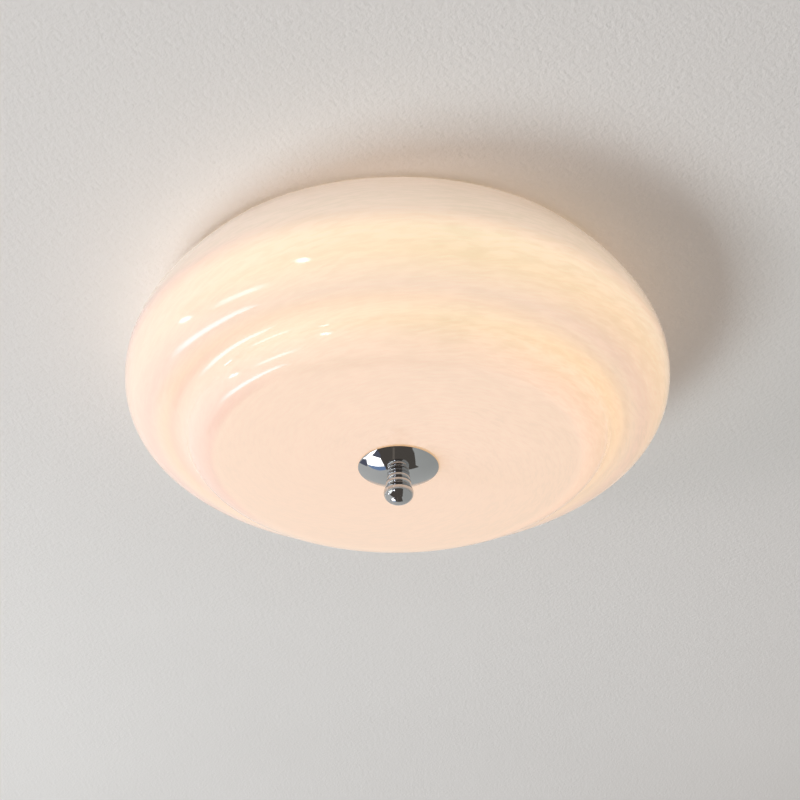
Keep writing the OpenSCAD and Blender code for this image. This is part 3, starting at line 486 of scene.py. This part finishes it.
def metal(name, color, rough=(0.2, 0.35), grain=(60.0, 60.0, 60.0), wear=0.12, bump=0.1,
          spangle=0.0, thread=None):
    """Plated metal: uneven tone, roughness and fine scratches. spangle adds the crystals of
    galvanising. thread adds a rolled thread, given its pitch and the height below which it shows,
    in metres."""
    s = Shader(name)
    p = s.point()
    x, y, z = s.split(p)
    stretched = s.join(s.math("MULTIPLY", x, grain[0]), s.math("MULTIPLY", y, grain[1]),
                       s.math("MULTIPLY", z, grain[2]))
    scratch = s.noise(stretched, scale=12.0, detail=3.0, rough=0.6)
    blotch = s.noise(p, scale=90.0, detail=3.0, rough=0.55)
    if spangle:
        blotch = s.math("MULTIPLY_ADD", s.cell_tone(p, scale=160.0), spangle, blotch)
    dark = [c * (1 - wear) for c in color]
    normal = s.bump(scratch, bump, distance=0.05 * MM)
    if thread:
        pitch, below = thread
        wave = s.math("SINE", s.math("MULTIPLY", z, 2 * math.pi / pitch))
        on_shank = s.span(z, below, below - 1.0 * MM)
        normal = s.bump(s.math("MULTIPLY", wave, on_shank), strength=1.0, distance=pitch * 0.25,
                        Normal=normal)
    return s.surface(Base_Color=s.mix(s.span(blotch, 0.3, 0.7), dark, color), Metallic=1.0,
                     Roughness=s.span(s.math("ADD", scratch, blotch), 0.6, 1.4, *rough),
                     Normal=normal)


def plastic(name, color, rough=(0.35, 0.5), shade=0.06, scale=700.0, bump=0.08, emit=None):
    """Moulded plastic, rubber, paint or wire cover with a fine surface grain."""
    s = Shader(name)
    p = s.point()
    grain = s.noise(p, scale, detail=3.0, rough=0.6)
    broad = s.noise(p, scale=45.0)
    dark = [c * (1 - shade) for c in color]
    tone = s.mix(s.span(s.math("MULTIPLY_ADD", grain, 0.4, broad), 0.45, 0.95), dark, color)
    inputs = dict(Base_Color=tone, Roughness=s.span(grain, 0.3, 0.7, *rough),
                  Normal=s.bump(grain, bump, distance=0.1 * MM))
    if emit:
        inputs.update(Emission_Color=emit, Emission_Strength=1.0)
    return s.surface(**inputs)


# the radii of the two rings of LEDs, and the width of the copper that links them and of its edge
OUTER_RING = 122.9
INNER_RING = 82.9
COPPER_W = 8.8
COPPER_EDGE = 0.2
# gaps of the copper all round; one begins and is complete at these values of a sine wave
GAPS = 28.0
GAP_START, GAP_FULL = 0.97, 0.985


def board_mask():
    """White solder mask: the copper rings that link the LEDs show faintly through it."""
    s = Shader("white_solder_mask")
    p = s.point()
    x, y, _ = s.split(p)
    radius = s.vector("LENGTH", s.join(x, y, 0.0))
    grain = s.noise(p, scale=900.0, detail=3.0, rough=0.6)
    copper = 0.0
    for ring in (OUTER_RING, INNER_RING):
        off = s.math("ABSOLUTE", s.math("SUBTRACT", radius, ring * MM))
        copper = s.math("ADD", copper, s.span(off, (COPPER_W / 2 + COPPER_EDGE) * MM,
                                              (COPPER_W / 2 - COPPER_EDGE) * MM))
    wave = s.math("SINE", s.math("MULTIPLY", s.math("ARCTAN2", y, x), GAPS))
    copper = s.math("MULTIPLY", copper, s.span(wave, GAP_FULL, GAP_START))
    tone = s.mix(copper, (0.80, 0.80, 0.78), (0.86, 0.84, 0.78))
    height = s.math("MULTIPLY_ADD", grain, 0.05, copper)
    return s.surface(Base_Color=tone, Roughness=s.span(grain, 0.3, 0.7, 0.28, 0.4),
                     Normal=s.bump(height, strength=0.5, distance=0.07 * MM))


def striped_wire():
    """Green insulation with a yellow stripe along each side."""
    s = Shader("green_yellow_pvc")
    grain = s.noise(s.point(), scale=700.0, detail=3.0, rough=0.6)
    around = s.attribute("around")
    stripe = s.math("ADD", s.span(around, 0.62, 0.66), s.span(around, 0.12, 0.08))
    return s.surface(Base_Color=s.mix(stripe, (0.03, 0.26, 0.05), (0.72, 0.60, 0.03)),
                     Roughness=s.span(grain, 0.3, 0.7, 0.26, 0.36),
                     Normal=s.bump(grain, strength=0.08, distance=0.1 * MM))


# one finish for each material slot of the record
finishes = {
    "galvanised_steel": metal("galvanised_steel", (0.56, 0.57, 0.58), (0.3, 0.45), spangle=0.5),
    "zinc_steel": metal("bright_zinc", (0.60, 0.61, 0.62), (0.22, 0.38)),
    "zinc_rod": metal("zinc_rod", (0.62, 0.62, 0.61), (0.18, 0.32), grain=(80, 80, 400)),
    "bright_nickel": metal("bright_nickel", (0.64, 0.62, 0.58), (0.08, 0.18), wear=0.05),
    "brass": metal("turned_brass", (0.72, 0.52, 0.22), (0.2, 0.35), grain=(60, 400, 60)),
    "tinned_brass": metal("tinned_brass", (0.66, 0.60, 0.46), (0.25, 0.4)),
    "green_zinc": metal("green_zinc", (0.14, 0.38, 0.17), (0.25, 0.4)),
    "white_enamel": plastic("white_enamel", (0.82, 0.82, 0.80), (0.3, 0.42), 0.04, 1200, 0.15),
    "grey_foam": plastic("grey_foam", (0.13, 0.13, 0.14), (0.8, 0.95), 0.3, 1500, 0.5),
    "white_mask_aluminium": board_mask(),
    "nylon_white": plastic("nylon", (0.80, 0.79, 0.73)),
    "terminal_nylon": plastic("polyamide", (0.78, 0.76, 0.69), (0.4, 0.55)),
    "led_phosphor": plastic("phosphor", (0.90, 0.70, 0.25), emit=(1.0, 0.72, 0.40)),
    "clear_acrylic": plastic("frosted_acrylic", (0.86, 0.85, 0.82), (0.15, 0.25),
                             emit=(0.6, 0.46, 0.28)),
    "connector_ivory": plastic("connector_ivory", (0.78, 0.74, 0.60)),
    "connector_white": plastic("connector_white", (0.84, 0.84, 0.80)),
    "driver_plastic": plastic("driver_case", (0.80, 0.80, 0.78), (0.38, 0.55), scale=1100, bump=0.2),
    "driver_lid_plastic": plastic("driver_lid", (0.77, 0.77, 0.75), (0.38, 0.55), scale=1100,
                                  bump=0.2),
    "green_laminate": plastic("laminate", (0.03, 0.20, 0.09), (0.2, 0.3)),
    "transformer_tape": plastic("tape", (0.70, 0.52, 0.06), (0.2, 0.35)),
    "capacitor_sleeve": plastic("sleeve", (0.05, 0.06, 0.16), (0.2, 0.35)),
    "brown_pvc": plastic("brown_pvc", (0.20, 0.08, 0.03), (0.25, 0.35)),
    "blue_pvc": plastic("blue_pvc", (0.04, 0.14, 0.50), (0.25, 0.35)),
    "green_yellow_pvc": striped_wire(),
    "red_pvc": plastic("red_pvc", (0.55, 0.03, 0.02), (0.25, 0.35)),
    "black_pvc": plastic("black_pvc", (0.02, 0.02, 0.02), (0.25, 0.35)),
    "black_rubber": plastic("black_rubber", (0.025, 0.025, 0.025), (0.5, 0.65)),
    "clear_silicone": plastic("silicone", (0.72, 0.72, 0.70), (0.3, 0.4)),
}
chrome = metal("polished_chrome", (0.57, 0.575, 0.585), rough=(0.02, 0.06), grain=(20, 20, 20),
               wear=0.03, bump=0.02)
for slot in ("chrome_cap", "chrome_collar", "chrome_finial"):
    finishes[slot] = chrome
# the studs' thread and the drop at which it starts, under their heads
STUD_PITCH = 0.7
STUD_THREAD_TOP = 12.7
threaded_zinc = metal("threaded_zinc", (0.60, 0.61, 0.62), (0.22, 0.38),
                      thread=(STUD_PITCH * MM, -STUD_THREAD_TOP * MM))
for name, node in nodes.items():
    if slot_of[name] != "opal_glass":
        node.data.materials.clear()
        node.data.materials.append(finishes[slot_of[name]])
nodes["mounting_studs"].data.materials[0] = threaded_zinc


# ---------------------------------------------------------------- glass
def make_glass():
    """The blown glass, with finer steps outside than inside and a polished edge at its rim."""
    fine, coarse, steps, polish = 4, 1, 256, 0.5
    outer, corners = glass_outline(fine)
    lengths = along(outer)
    base, _ = glass_outline(coarse)
    inner = [(p, d) for p, d in zip(offset(base, WALL), along(base)) if p.y >= RIM_GAP]
    inner.reverse()
    inner_rim = RIM_R - WALL / math.sin(math.radians(RIM_ANGLE)) + polish
    outline = ([Vector((RIM_R - polish, RIM_GAP))] + outer[1:]
               + [Vector((HOLE_R, GLASS_DROP)), Vector((HOLE_R, GLASS_DROP - WALL))]
               + [p for p, _ in inner] + [Vector((inner_rim, RIM_GAP))])
    rows = lengths + [lengths[-1]] * 2 + [d for _, d in inner] + [0.0]
    piece = add_mesh("glass_shade_blown", *lathe_mesh(outline, steps),
                     opal_glass(lengths, corners), "glass_shade")
    point_values(piece, "down", [d for d in rows for _ in range(steps)])
    return piece


glass = make_glass()


# ---------------------------------------------------------------- cap, finial and rod
def make_cap():
    """The shallow dome of the cap: rise is how far the dome's middle lies above the cap's rim."""
    rise = (CAP_R ** 2 - CAP_FLAT_R ** 2 - CAP_H ** 2) / (2 * CAP_H)
    dome = math.hypot(CAP_R, rise)
    middle = (0.0, CAP_RIM - rise)
    rim = math.degrees(math.atan2(rise, CAP_R))
    top = math.degrees(math.atan2(rise + CAP_H, CAP_FLAT_R))
    inner = dome - CAP_WALL
    inner_rim = math.degrees(math.asin(rise / inner))
    inner_top = math.degrees(math.asin((rise + CAP_H - CAP_WALL) / inner))
    drop = CAP_RIM + CAP_H
    outline = (arc(middle, dome, dome, rim, top, 48)
               + [Vector((BORE_R, drop)), Vector((BORE_R, drop - CAP_WALL))]
               + arc(middle, inner, inner, inner_top, inner_rim, 24))
    return add_mesh("finial_cap_spun", *lathe_mesh(outline, 160), chrome, "finial_cap")


def make_collar():
    """The loose ring above the finial, with a bulged side."""
    middle = (COLLAR_R - RING_BULGE, COLLAR_TOP + COLLAR_H / 2)
    outline = ([Vector((BORE_R, COLLAR_TOP))] + arc(middle, RING_BULGE, COLLAR_H / 2, -90, 90, 24)
               + [Vector((BORE_R, COLLAR_TOP + COLLAR_H))])
    return add_mesh("finial_collar_turned", *lathe_mesh(outline, 128), chrome, "finial_collar")


def make_ball():
    """The finial: its neck with a bulged side, the flattened ball and the blind bore."""
    foot, bore = NECK_R - RING_BULGE, ROD_R + THREAD_CLEAR
    top = math.degrees(math.acos(foot / BALL_R))
    middle = (0.0, NECK_TOP + NECK_H + BALL_HALF_H * math.sin(math.radians(top)))
    outline = ([Vector((bore, NECK_TOP))]
               + arc((foot, NECK_TOP + NECK_H / 2), RING_BULGE, NECK_H / 2, -90, 90, 24)
               + arc(middle, BALL_R, BALL_HALF_H, -top, 90, 64)[:-1]
               + [Vector((0.0, middle[1] + BALL_HALF_H)), Vector((0.0, NECK_TOP + FINIAL_BORE)),
                  Vector((bore, NECK_TOP + FINIAL_BORE))])
    return add_mesh("finial_ball_turned", *lathe_mesh(outline, 128), chrome, "finial_ball")


def make_rod():
    """The hollow rod with its rolled thread of 1 mm pitch, cut as a wave around and down it."""
    pitch, depth, rows = 1.0, 0.5, 6
    count = round((ROD_END - ROD_TOP) * rows / pitch)
    outline = [Vector((ROD_R, ROD_TOP + (ROD_END - ROD_TOP) * i / count)) for i in range(count + 1)]
    outline += [Vector((ROD_BORE_R, ROD_END)), Vector((ROD_BORE_R, ROD_TOP))]

    def thread(r, drop, a):
        if r < ROD_R:
            return r
        return r - depth * (0.5 - 0.5 * math.cos(2 * math.pi * drop / pitch - a))

    verts, faces = lathe_mesh(outline, 30, thread)
    return add_mesh("center_rod_threaded", verts, faces, finishes["zinc_rod"], "center_rod",
                    crease=60)


chromed = [make_cap(), make_collar(), make_ball()]
make_rod()


# ---------------------------------------------------------------- moulded and pressed pieces
def soften(node, name, width, sharp=50.0):
    """The CAD node's own shape with its sharp edges rounded, as moulds and presses leave them."""
    work = bmesh.new()
    work.from_mesh(nodes[node].data)
    bmesh.ops.remove_doubles(work, verts=work.verts, dist=1e-6)
    bmesh.ops.dissolve_limit(work, angle_limit=math.radians(1), verts=work.verts, edges=work.edges)
    edges = [e for e in work.edges
             if len(e.link_faces) == 2 and e.calc_face_angle() > math.radians(sharp)]
    bmesh.ops.bevel(work, geom=edges, offset=width * MM, offset_type="OFFSET", segments=2,
                    profile=0.5, affect="EDGES", clamp_overlap=True)
    verts = [v.co / MM for v in work.verts]
    faces = [[v.index for v in f.verts] for f in work.faces]
    work.free()
    return add_mesh(name, verts, faces, finishes[slot_of[node]], node, weighted=True)


soften("driver_base", "driver_base_moulded", 0.6)
soften("driver_lid", "driver_lid_moulded", 0.8)
soften("terminal_block", "terminal_block_moulded", 0.4)
soften("led_socket", "led_socket_moulded", 0.25)
soften("led_plug", "led_plug_moulded", 0.25)
soften("ceiling_bracket", "ceiling_bracket_pressed", 0.3)


# ---------------------------------------------------------------- wires, on the routes of the CAD
def one_of_pair(route, side):
    """One wire of a pair, on side 1 or -1. Each point of the route is x, y, drop, the direction
    of the first wire from the middle of the pair, and its distance from it."""
    points = []
    for x, y, drop, turn, half in route:
        turn = math.radians(turn)
        points.append((x + side * half * math.cos(turn), y + side * half * math.sin(turn), -drop))
    return points


def make_wire(node, name, route, diameter):
    verts, faces, around = tube_mesh(smooth_path(route, 8), diameter / 2, 16)
    piece = add_mesh(name, verts, faces, finishes[slot_of[node]], node, crease=60)
    point_values(piece, "around", around)
    return piece


def make_wires():
    wire_d, led_wire_d = 2.0, 1.6
    pair_gap, led_pair_gap = 1.2, 0.6
    half, led_half = (wire_d + pair_gap) / 2, (led_wire_d + led_pair_gap) / 2
    # a wire's end, its straight run and where it has turned, from the middle of the block
    end, run, turn = 1 - BLOCK_Y, 12 - BLOCK_Y, 26 - BLOCK_Y
    # the wires enter the driver just above its circuit board
    driver_wall, post_h, pcb_t, pcb_gap = 1.6, 3, 1.6, 0.3
    pcb_top = FLOOR_TOP - driver_wall - post_h - pcb_t
    entry, led_entry = pcb_top - wire_d / 2 - pcb_gap, pcb_top - led_wire_d / 2 - pcb_gap
    # how far they loop out past the ends of the driver's case, and back from its middle
    loop, back = 18, 14
    mains = [
        (-POLE_PITCH / 2, end, POLE_DROP, 180, POLE_PITCH / 2),
        (-POLE_PITCH / 2, run, POLE_DROP, 180, POLE_PITCH / 2),
        (-POLE_PITCH, turn, FLOOR_TOP - 3, 195, half * 2),
        (-21, -16, FLOOR_TOP - 2, 200, half),
        (-25, 5, FLOOR_TOP - 2, 197, half),
        (-34, 27, FLOOR_TOP - 2, 222, half),
        (-49, 44, FLOOR_TOP - 3.5, 228, half),
        (-65, 59, FLOOR_TOP - 5, 220, half),
        (-DRIVER_END - loop, DRIVER_Y - back, entry + 1, 190, half),
        (-DRIVER_END - loop + 2.5, DRIVER_Y - 4, entry, 135, half),
        (-DRIVER_END - 7, DRIVER_Y, entry, 90, half),
        (-DRIVER_END + 1, DRIVER_Y, entry, 90, half),
        (-DRIVER_END + 7, DRIVER_Y, entry, 90, half)]
    # the earth wire ends in the barrel of its tab
    earth_y, barrel_x, barrel_l, barrel_walls = -40.0, 41.3, 8.0, 1.4
    low = FLOOR_TOP - (wire_d + barrel_walls) / 2
    earth = [
        (POLE_PITCH, end, -POLE_DROP),
        (POLE_PITCH, run, -POLE_DROP),
        (POLE_PITCH + 3, earth_y - 4, -POLE_DROP - 2),
        (POLE_PITCH + 11, earth_y, -low + 0.4),
        (barrel_x - barrel_l - 4, earth_y, -low),
        (barrel_x - barrel_l / 2, earth_y, -low)]
    # the LED wires go down through the grommet to the plug
    grommet_x, grommet_y, plug_x, plug_y, plug_drop = 30.0, 34.0, 10.0, 40.0, BOARD_UNDER + 3
    led = [
        (DRIVER_END - 7, DRIVER_Y, led_entry, 90, led_half),
        (DRIVER_END - 1, DRIVER_Y, led_entry, 90, led_half),
        (DRIVER_END + 8, DRIVER_Y, led_entry, 90, led_half),
        (DRIVER_END + loop - 2, DRIVER_Y - 5, led_entry + 1, 45, led_half),
        (DRIVER_END + loop - 1, DRIVER_Y - back - 2, led_entry + 2, 350, led_half),
        (grommet_x + 36, grommet_y + 27, FLOOR_TOP - 3, 320, led_half),
        (grommet_x + 18, grommet_y + 10, FLOOR_TOP - 2.5, 305, led_half),
        (grommet_x + 5, grommet_y + 2, FLOOR_TOP - 3.5, 300, led_half),
        (grommet_x, grommet_y, FLOOR_TOP + 0.5, 290, led_half),
        (grommet_x, grommet_y, BOARD_UNDER - 1.5, 285, led_half),
        (grommet_x - 2, grommet_y + 0.5, BOARD_UNDER + 2.4, 280, led_half),
        ((grommet_x + plug_x) / 2, plug_y - 1, plug_drop + 0.6, 275, led_half),
        (plug_x + 3, plug_y, plug_drop, 270, led_half),
        (plug_x, plug_y, plug_drop, 270, led_half)]
    make_wire("live_wire", "live_wire_drawn", one_of_pair(mains, 1), wire_d)
    make_wire("neutral_wire", "neutral_wire_drawn", one_of_pair(mains, -1), wire_d)
    make_wire("earth_wire", "earth_wire_striped", earth, wire_d)
    make_wire("led_positive_wire", "led_positive_wire_drawn", one_of_pair(led, 1), led_wire_d)
    make_wire("led_negative_wire", "led_negative_wire_drawn", one_of_pair(led, -1), led_wire_d)


make_wires()


# ---------------------------------------------------------------- stage, in metres
# how far away the windows and lamps that the gloss mirrors are, and the lamps that give light
ROOM = 12.0
LAMP_FAR = 3.4
# how wide the ceiling is, and how far above z = 0 it lies, clear of the rims that touch it
CEILING_W = 9.0
CEILING_Z = 0.0002
# heights of the level shapes that the chrome mirrors; a higher one hides those below it
BACK, MIDDLE, FRONT = -10.0, -9.95, -9.9


def toward(azimuth, elevation):
    """The direction of an azimuth and an elevation in degrees, which is negative below."""
    azimuth, elevation = math.radians(azimuth), math.radians(elevation)
    return Vector((math.cos(elevation) * math.cos(azimuth), math.cos(elevation) * math.sin(azimuth),
                   math.sin(elevation)))


def add_stage(name, verts, faces, material):
    """A mesh in metres that isn't part of the light."""
    mesh = bpy.data.meshes.new(name)
    mesh.from_pydata(verts, [], faces)
    mesh.materials.append(material)
    card = bpy.data.objects.new(name, mesh)
    bpy.context.scene.collection.objects.link(card)
    return card


def hide_from(thing, *rays):
    """Makes a thing invisible to rays of these kinds."""
    for ray in rays:
        setattr(thing, "visible_" + ray, False)


def only_reflected(card, seen_by=None):
    """Shows a card in reflections alone, and where seen_by names pieces, in theirs alone."""
    hide_from(card, "camera", "diffuse", "transmission", "shadow")
    if seen_by:
        group = bpy.data.collections.new(card.name + "_seen_by")
        for piece in seen_by:
            group.objects.link(piece)
        card.light_linking.receiver_collection = group


def plane(name, centre, normal, width, height, material, up=(0, 0, 1)):
    """A flat stage card of width and height, facing along normal."""
    n = Vector(normal).normalized()
    side = Vector(up).cross(n).normalized()
    rise = n.cross(side)
    corners = [Vector(centre) + side * a * width / 2 + rise * b * height / 2
               for a, b in ((-1, -1), (1, -1), (1, 1), (-1, 1))]
    card = add_stage(name, corners, [(0, 1, 2, 3)], material)
    places = card.data.uv_layers.new(name="card").data
    for place, uv in zip(places, ((0, 0), (1, 0), (1, 1), (0, 1))):
        place.uv = uv
    return card


def ceiling_paint():
    """Matt wall paint on the side of the room; from above it is clear, and so it is inside the
    chassis pan, to show the fixings and to let the light from above reach them."""
    s = Shader("ceiling_paint")
    p = s.point()
    x, y, _ = s.split(p)
    roller = s.noise(p, scale=260.0, detail=4.0, rough=0.6)
    broad = s.noise(p, scale=1.3)
    tone = s.mix(s.span(broad, 0.3, 0.7), (0.765, 0.745, 0.715), (0.80, 0.78, 0.75))
    # painted light: the ceiling is a little lighter on the far side
    painted_far_light = s.span(y, 0.15, 0.5, 1.0, 1.04)
    tone = s.vector("MULTIPLY", tone, s.join(painted_far_light, painted_far_light, painted_far_light))
    bumps = s.bump(roller, strength=1.0, distance=0.9 * MM)
    paint = s.node("ShaderNodeBsdfPrincipled",
                   {"Base Color": tone, "Roughness": 0.85, "Normal": bumps}).outputs[0]
    open_pan = s.math("LESS_THAN", s.vector("LENGTH", s.join(x, y, 0.0)), PAN_OPEN_R * MM)
    return s.shade(s.mix_shader(s.math("MAXIMUM", s.backfacing(), open_pan), paint, s.clear()))


def window(name, direction, size, color, strength, round_edge=False, soft=0.3, seen_by=None,
           lean=0.0):
    """A bright shape that shows only in reflections. direction is azimuth and elevation, size the
    angles that it covers, and lean its tilt, all in degrees. soft is the share of its size over
    which its light fades out."""
    out = toward(*direction)
    s = Shader(name)
    u, v, _ = s.split(s.vector("ADD", s.node("ShaderNodeUVMap", uv_map="card").outputs[0],
                               (-0.5, -0.5, 0.0)))
    if round_edge:
        shown = s.span(s.vector("LENGTH", s.join(u, v, 0.0)), 0.5, 0.5 - soft, smooth=True)
    else:
        shown = s.math("MULTIPLY",
                       s.span(s.math("ABSOLUTE", u), 0.5, 0.5 - soft, smooth=True),
                       s.span(s.math("ABSOLUTE", v), 0.5, 0.5 - soft, smooth=True))
    light = s.shade(s.clear_glow(color, s.math("MULTIPLY", shown, strength)))
    width, height = (2 * ROOM * math.tan(math.radians(a / 2)) for a in size)
    up = Matrix.Rotation(math.radians(lean), 3, out) @ Vector((0, 0, 1))
    only_reflected(plane(name, out * ROOM, -out, width, height, light, up), seen_by)


def level_card(name, height, outline, color):
    """A level shape that only the chrome mirrors. The outline's points are x and y for one metre
    of depth below the cap, so a shape looks the same at any height."""
    s = Shader(name)
    light = s.shade(s.emission(color))
    depth = height + CAP_RIM * MM
    verts = [(x * -depth, y * -depth, height) for x, y in outline]
    only_reflected(add_stage(name, verts, [list(range(len(outline)))], light), chromed)


plane("ceiling_stage", (0, 0, CEILING_Z), (0, 0, -1), CEILING_W, CEILING_W, ceiling_paint(),
      up=(0, 1, 0))
# what the glass mirrors: two windows, and two lamps that the chrome mirrors too
window("window_far", (148.5, -50.0), (11.0, 33.0), (0.78, 0.88, 1.15), 5.5, soft=0.35,
       seen_by=[glass], lean=12.0)
window("window_side", (-167.0, -44.0), (24.0, 11.0), (0.85, 0.92, 1.1), 5.2, soft=0.35,
       seen_by=[glass], lean=-37.0)
window("lamp_near", (-126.2, -25.0), (7.0, 15.0), (0.9, 0.95, 1.1), 11.0, round_edge=True)
window("lamp_left", (176.5, -23.3), (6.0, 14.0), (0.9, 0.95, 1.1), 9.0, round_edge=True)
# what the cap, ring and ball mirror: the dark room under the light, its window and the sill
level_card("dark_room", BACK,
           [(0.45, 1.06), (0.36, 0.86), (0.34, 0.58), (0.32, 0.32), (0.28, 0.17), (0.42, 0.0),
            (0.50, -0.30), (1.03, -1.37), (4.0, -6.0), (4.0, -12.0), (-12.0, -12.0), (-12.0, 0.1),
            (-1.3, 0.1), (-0.6, 0.2), (-0.44, 0.27), (-0.39, 0.35), (-0.36, 0.5), (-0.30, 0.83),
            (-0.25, 1.07)], (0.105, 0.092, 0.080))
level_card("room_strip", FRONT, [(-0.11, 0.1), (-0.07, 0.1), (-0.07, 1.0), (-0.11, 1.0)],
           (0.19, 0.165, 0.14))
level_card("window_frame", MIDDLE,
           [(-0.44, 0.25), (-0.36, 0.38), (-0.36, 0.52), (-0.73, 0.84), (-0.74, 1.18), (-0.80, 1.42),
            (-1.12, 1.58), (-0.87, 0.98), (-0.62, 0.46)], (0.13, 0.14, 0.19))
level_card("window_pane", FRONT,
           [(-0.44, 0.25), (-0.57, 0.54), (-0.49, 0.53), (-0.36, 0.52), (-0.29, 0.84),
            (-0.49, 1.02), (-0.74, 1.18), (-0.73, 0.84), (-0.86, 0.96), (-0.61, 0.46)],
           (4.0, 4.0, 4.0))
level_card("window_sill", MIDDLE,
           [(-0.74, 1.18), (-0.49, 1.02), (-0.27, 0.86), (-0.27, 1.09), (-0.43, 1.30), (-0.61, 1.36),
            (-0.72, 1.30)], (0.24, 0.36, 0.60))
level_card("window_behind", FRONT, [(-1.36, -0.18), (-1.63, -1.47), (-5.0, -4.5), (-9.0, -0.6)],
           (1.6, 1.65, 1.6))


def soft_lamp(name, direction, size, power, color):
    """A rectangular lamp that isn't seen itself; direction is azimuth and elevation in degrees,
    and size the angles that it covers."""
    data = bpy.data.lights.new(name, "AREA")
    data.shape = "RECTANGLE"
    data.size, data.size_y = (2 * LAMP_FAR * math.tan(math.radians(a / 2)) for a in size)
    data.energy = power
    data.color = color
    lamp = bpy.data.objects.new(name, data)
    lamp.location = toward(*direction) * LAMP_FAR
    lamp.rotation_euler = (-lamp.location).to_track_quat("-Z", "Y").to_euler()
    hide_from(lamp, "glossy", "camera")
    bpy.context.scene.collection.objects.link(lamp)


def spill_on_ceiling(color):
    """The light that the opal sends up at the ceiling beside it: a ring close around the shoulder
    that lights the ceiling and isn't seen itself. It fades towards the +X side."""
    s = Shader("opal_spill")
    x, _, _ = s.split(s.point())
    glow = s.clear_glow(color, s.span(x, 0.0, 0.17, 1.0, 0.06))
    light = s.shade(s.mix_shader(s.backfacing(), glow, s.clear()))
    points, corners = glass_outline(1)
    gap, steps = 0.6, 96
    ring = offset(points[:corners[1] + 1], -gap)
    turns = [2 * math.pi * k / steps for k in range(steps)]
    verts = [Vector((p.x * math.cos(a), p.x * math.sin(a), -p.y)) * MM for p in ring for a in turns]
    faces = [(i * steps + k, (i + 1) * steps + k, (i + 1) * steps + (k + 1) % steps,
              i * steps + (k + 1) % steps) for i in range(len(ring) - 1) for k in range(steps)]
    hide_from(add_stage("opal_spill", verts, faces, light),
              "camera", "glossy", "transmission", "shadow")


# above the ceiling, for the fixings inside the pan; the ceiling keeps it off everything else
soft_lamp("fixings_lamp", (150.0, 62.0), (40.0, 40.0), 60.0, (1.0, 1.0, 1.0))
# the daylight in the room
soft_lamp("main_lamp", (160.2, -49.0), (31.6, 21.0), 58.5, (0.84, 0.94, 1.0))
soft_lamp("low_lamp", (196.3, -21.2), (20.8, 12.4), 21.0, (1.0, 0.87, 0.90))
spill_on_ceiling((0.205, 0.145, 0.10))


def room_light(fill, mirror_left, mirror_right, backdrop):
    """The world: the soft light from all round, the greys that gloss and metal mirror, from the -X
    side to the +X side, and the pale backdrop that the camera sees."""
    world = bpy.data.worlds.new("room")
    bpy.context.scene.world = world
    world.use_nodes = True
    tree = world.node_tree
    tree.nodes.clear()
    place = tree.nodes.new("ShaderNodeTexCoord")
    split = tree.nodes.new("ShaderNodeSeparateXYZ")
    tree.links.new(place.outputs["Generated"], split.inputs[0])
    across = tree.nodes.new("ShaderNodeMapRange")
    across.inputs["From Min"].default_value = -0.5
    across.inputs["From Max"].default_value = 0.5
    tree.links.new(split.outputs[0], across.inputs[0])
    mirrored = tree.nodes.new("ShaderNodeMix")
    mirrored.data_type = "RGBA"
    mirrored.inputs[6].default_value = mirror_left + (1.0,)
    mirrored.inputs[7].default_value = mirror_right + (1.0,)
    tree.links.new(across.outputs[0], mirrored.inputs[0])
    lit, reflected, seen = (tree.nodes.new("ShaderNodeBackground") for _ in range(3))
    lit.inputs[0].default_value = fill + (1.0,)
    tree.links.new(mirrored.outputs[2], reflected.inputs[0])
    seen.inputs[0].default_value = backdrop + (1.0,)
    path = tree.nodes.new("ShaderNodeLightPath")
    shader = lit.outputs[0]
    for background, ray in ((reflected, "Is Glossy Ray"), (seen, "Is Camera Ray")):
        mix = tree.nodes.new("ShaderNodeMixShader")
        tree.links.new(path.outputs[ray], mix.inputs[0])
        tree.links.new(shader, mix.inputs[1])
        tree.links.new(background.outputs[0], mix.inputs[2])
        shader = mix.outputs[0]
    tree.links.new(shader, tree.nodes.new("ShaderNodeOutputWorld").inputs[0])


room_light((0.415, 0.385, 0.37), (0.64, 0.645, 0.63), (0.46, 0.47, 0.45), (0.86, 0.855, 0.845))


# ---------------------------------------------------------------- camera
def make_camera():
    """Below the ceiling on the -Y side, looking up, with the photograph's slight roll."""
    image = 800.0
    # the row of the image in which the light's centre on the ceiling shows
    ceiling_row = 334.94
    data = bpy.data.cameras.new("camera")
    data.lens = 63.0
    data.sensor_width = 36.0
    focal = image * data.lens / data.sensor_width
    # how steeply the camera sees that centre from below, how far away, and how far it stands aside
    rise, roll, distance, aside = math.radians(36.72), math.radians(-0.6), 1.07296, 0.00164
    tilt = rise - math.atan((image / 2 - ceiling_row) / focal)
    place = Vector((aside, -distance * math.cos(rise), -distance * math.sin(rise)))
    right = Vector((1, 0, 0))
    up = Vector((0, -math.sin(tilt), math.cos(tilt)))
    ahead = Vector((0, math.cos(tilt), math.sin(tilt)))
    side = right * math.cos(roll) + up * math.sin(roll)
    top = up * math.cos(roll) - right * math.sin(roll)
    camera = bpy.data.objects.new("camera", data)
    rotation = Matrix((side, top, -ahead)).transposed().to_4x4()
    camera.matrix_world = Matrix.Translation(place) @ rotation
    bpy.context.scene.collection.objects.link(camera)
    bpy.context.scene.camera = camera


make_camera()
bpy.context.scene.view_settings.view_transform = "Standard"
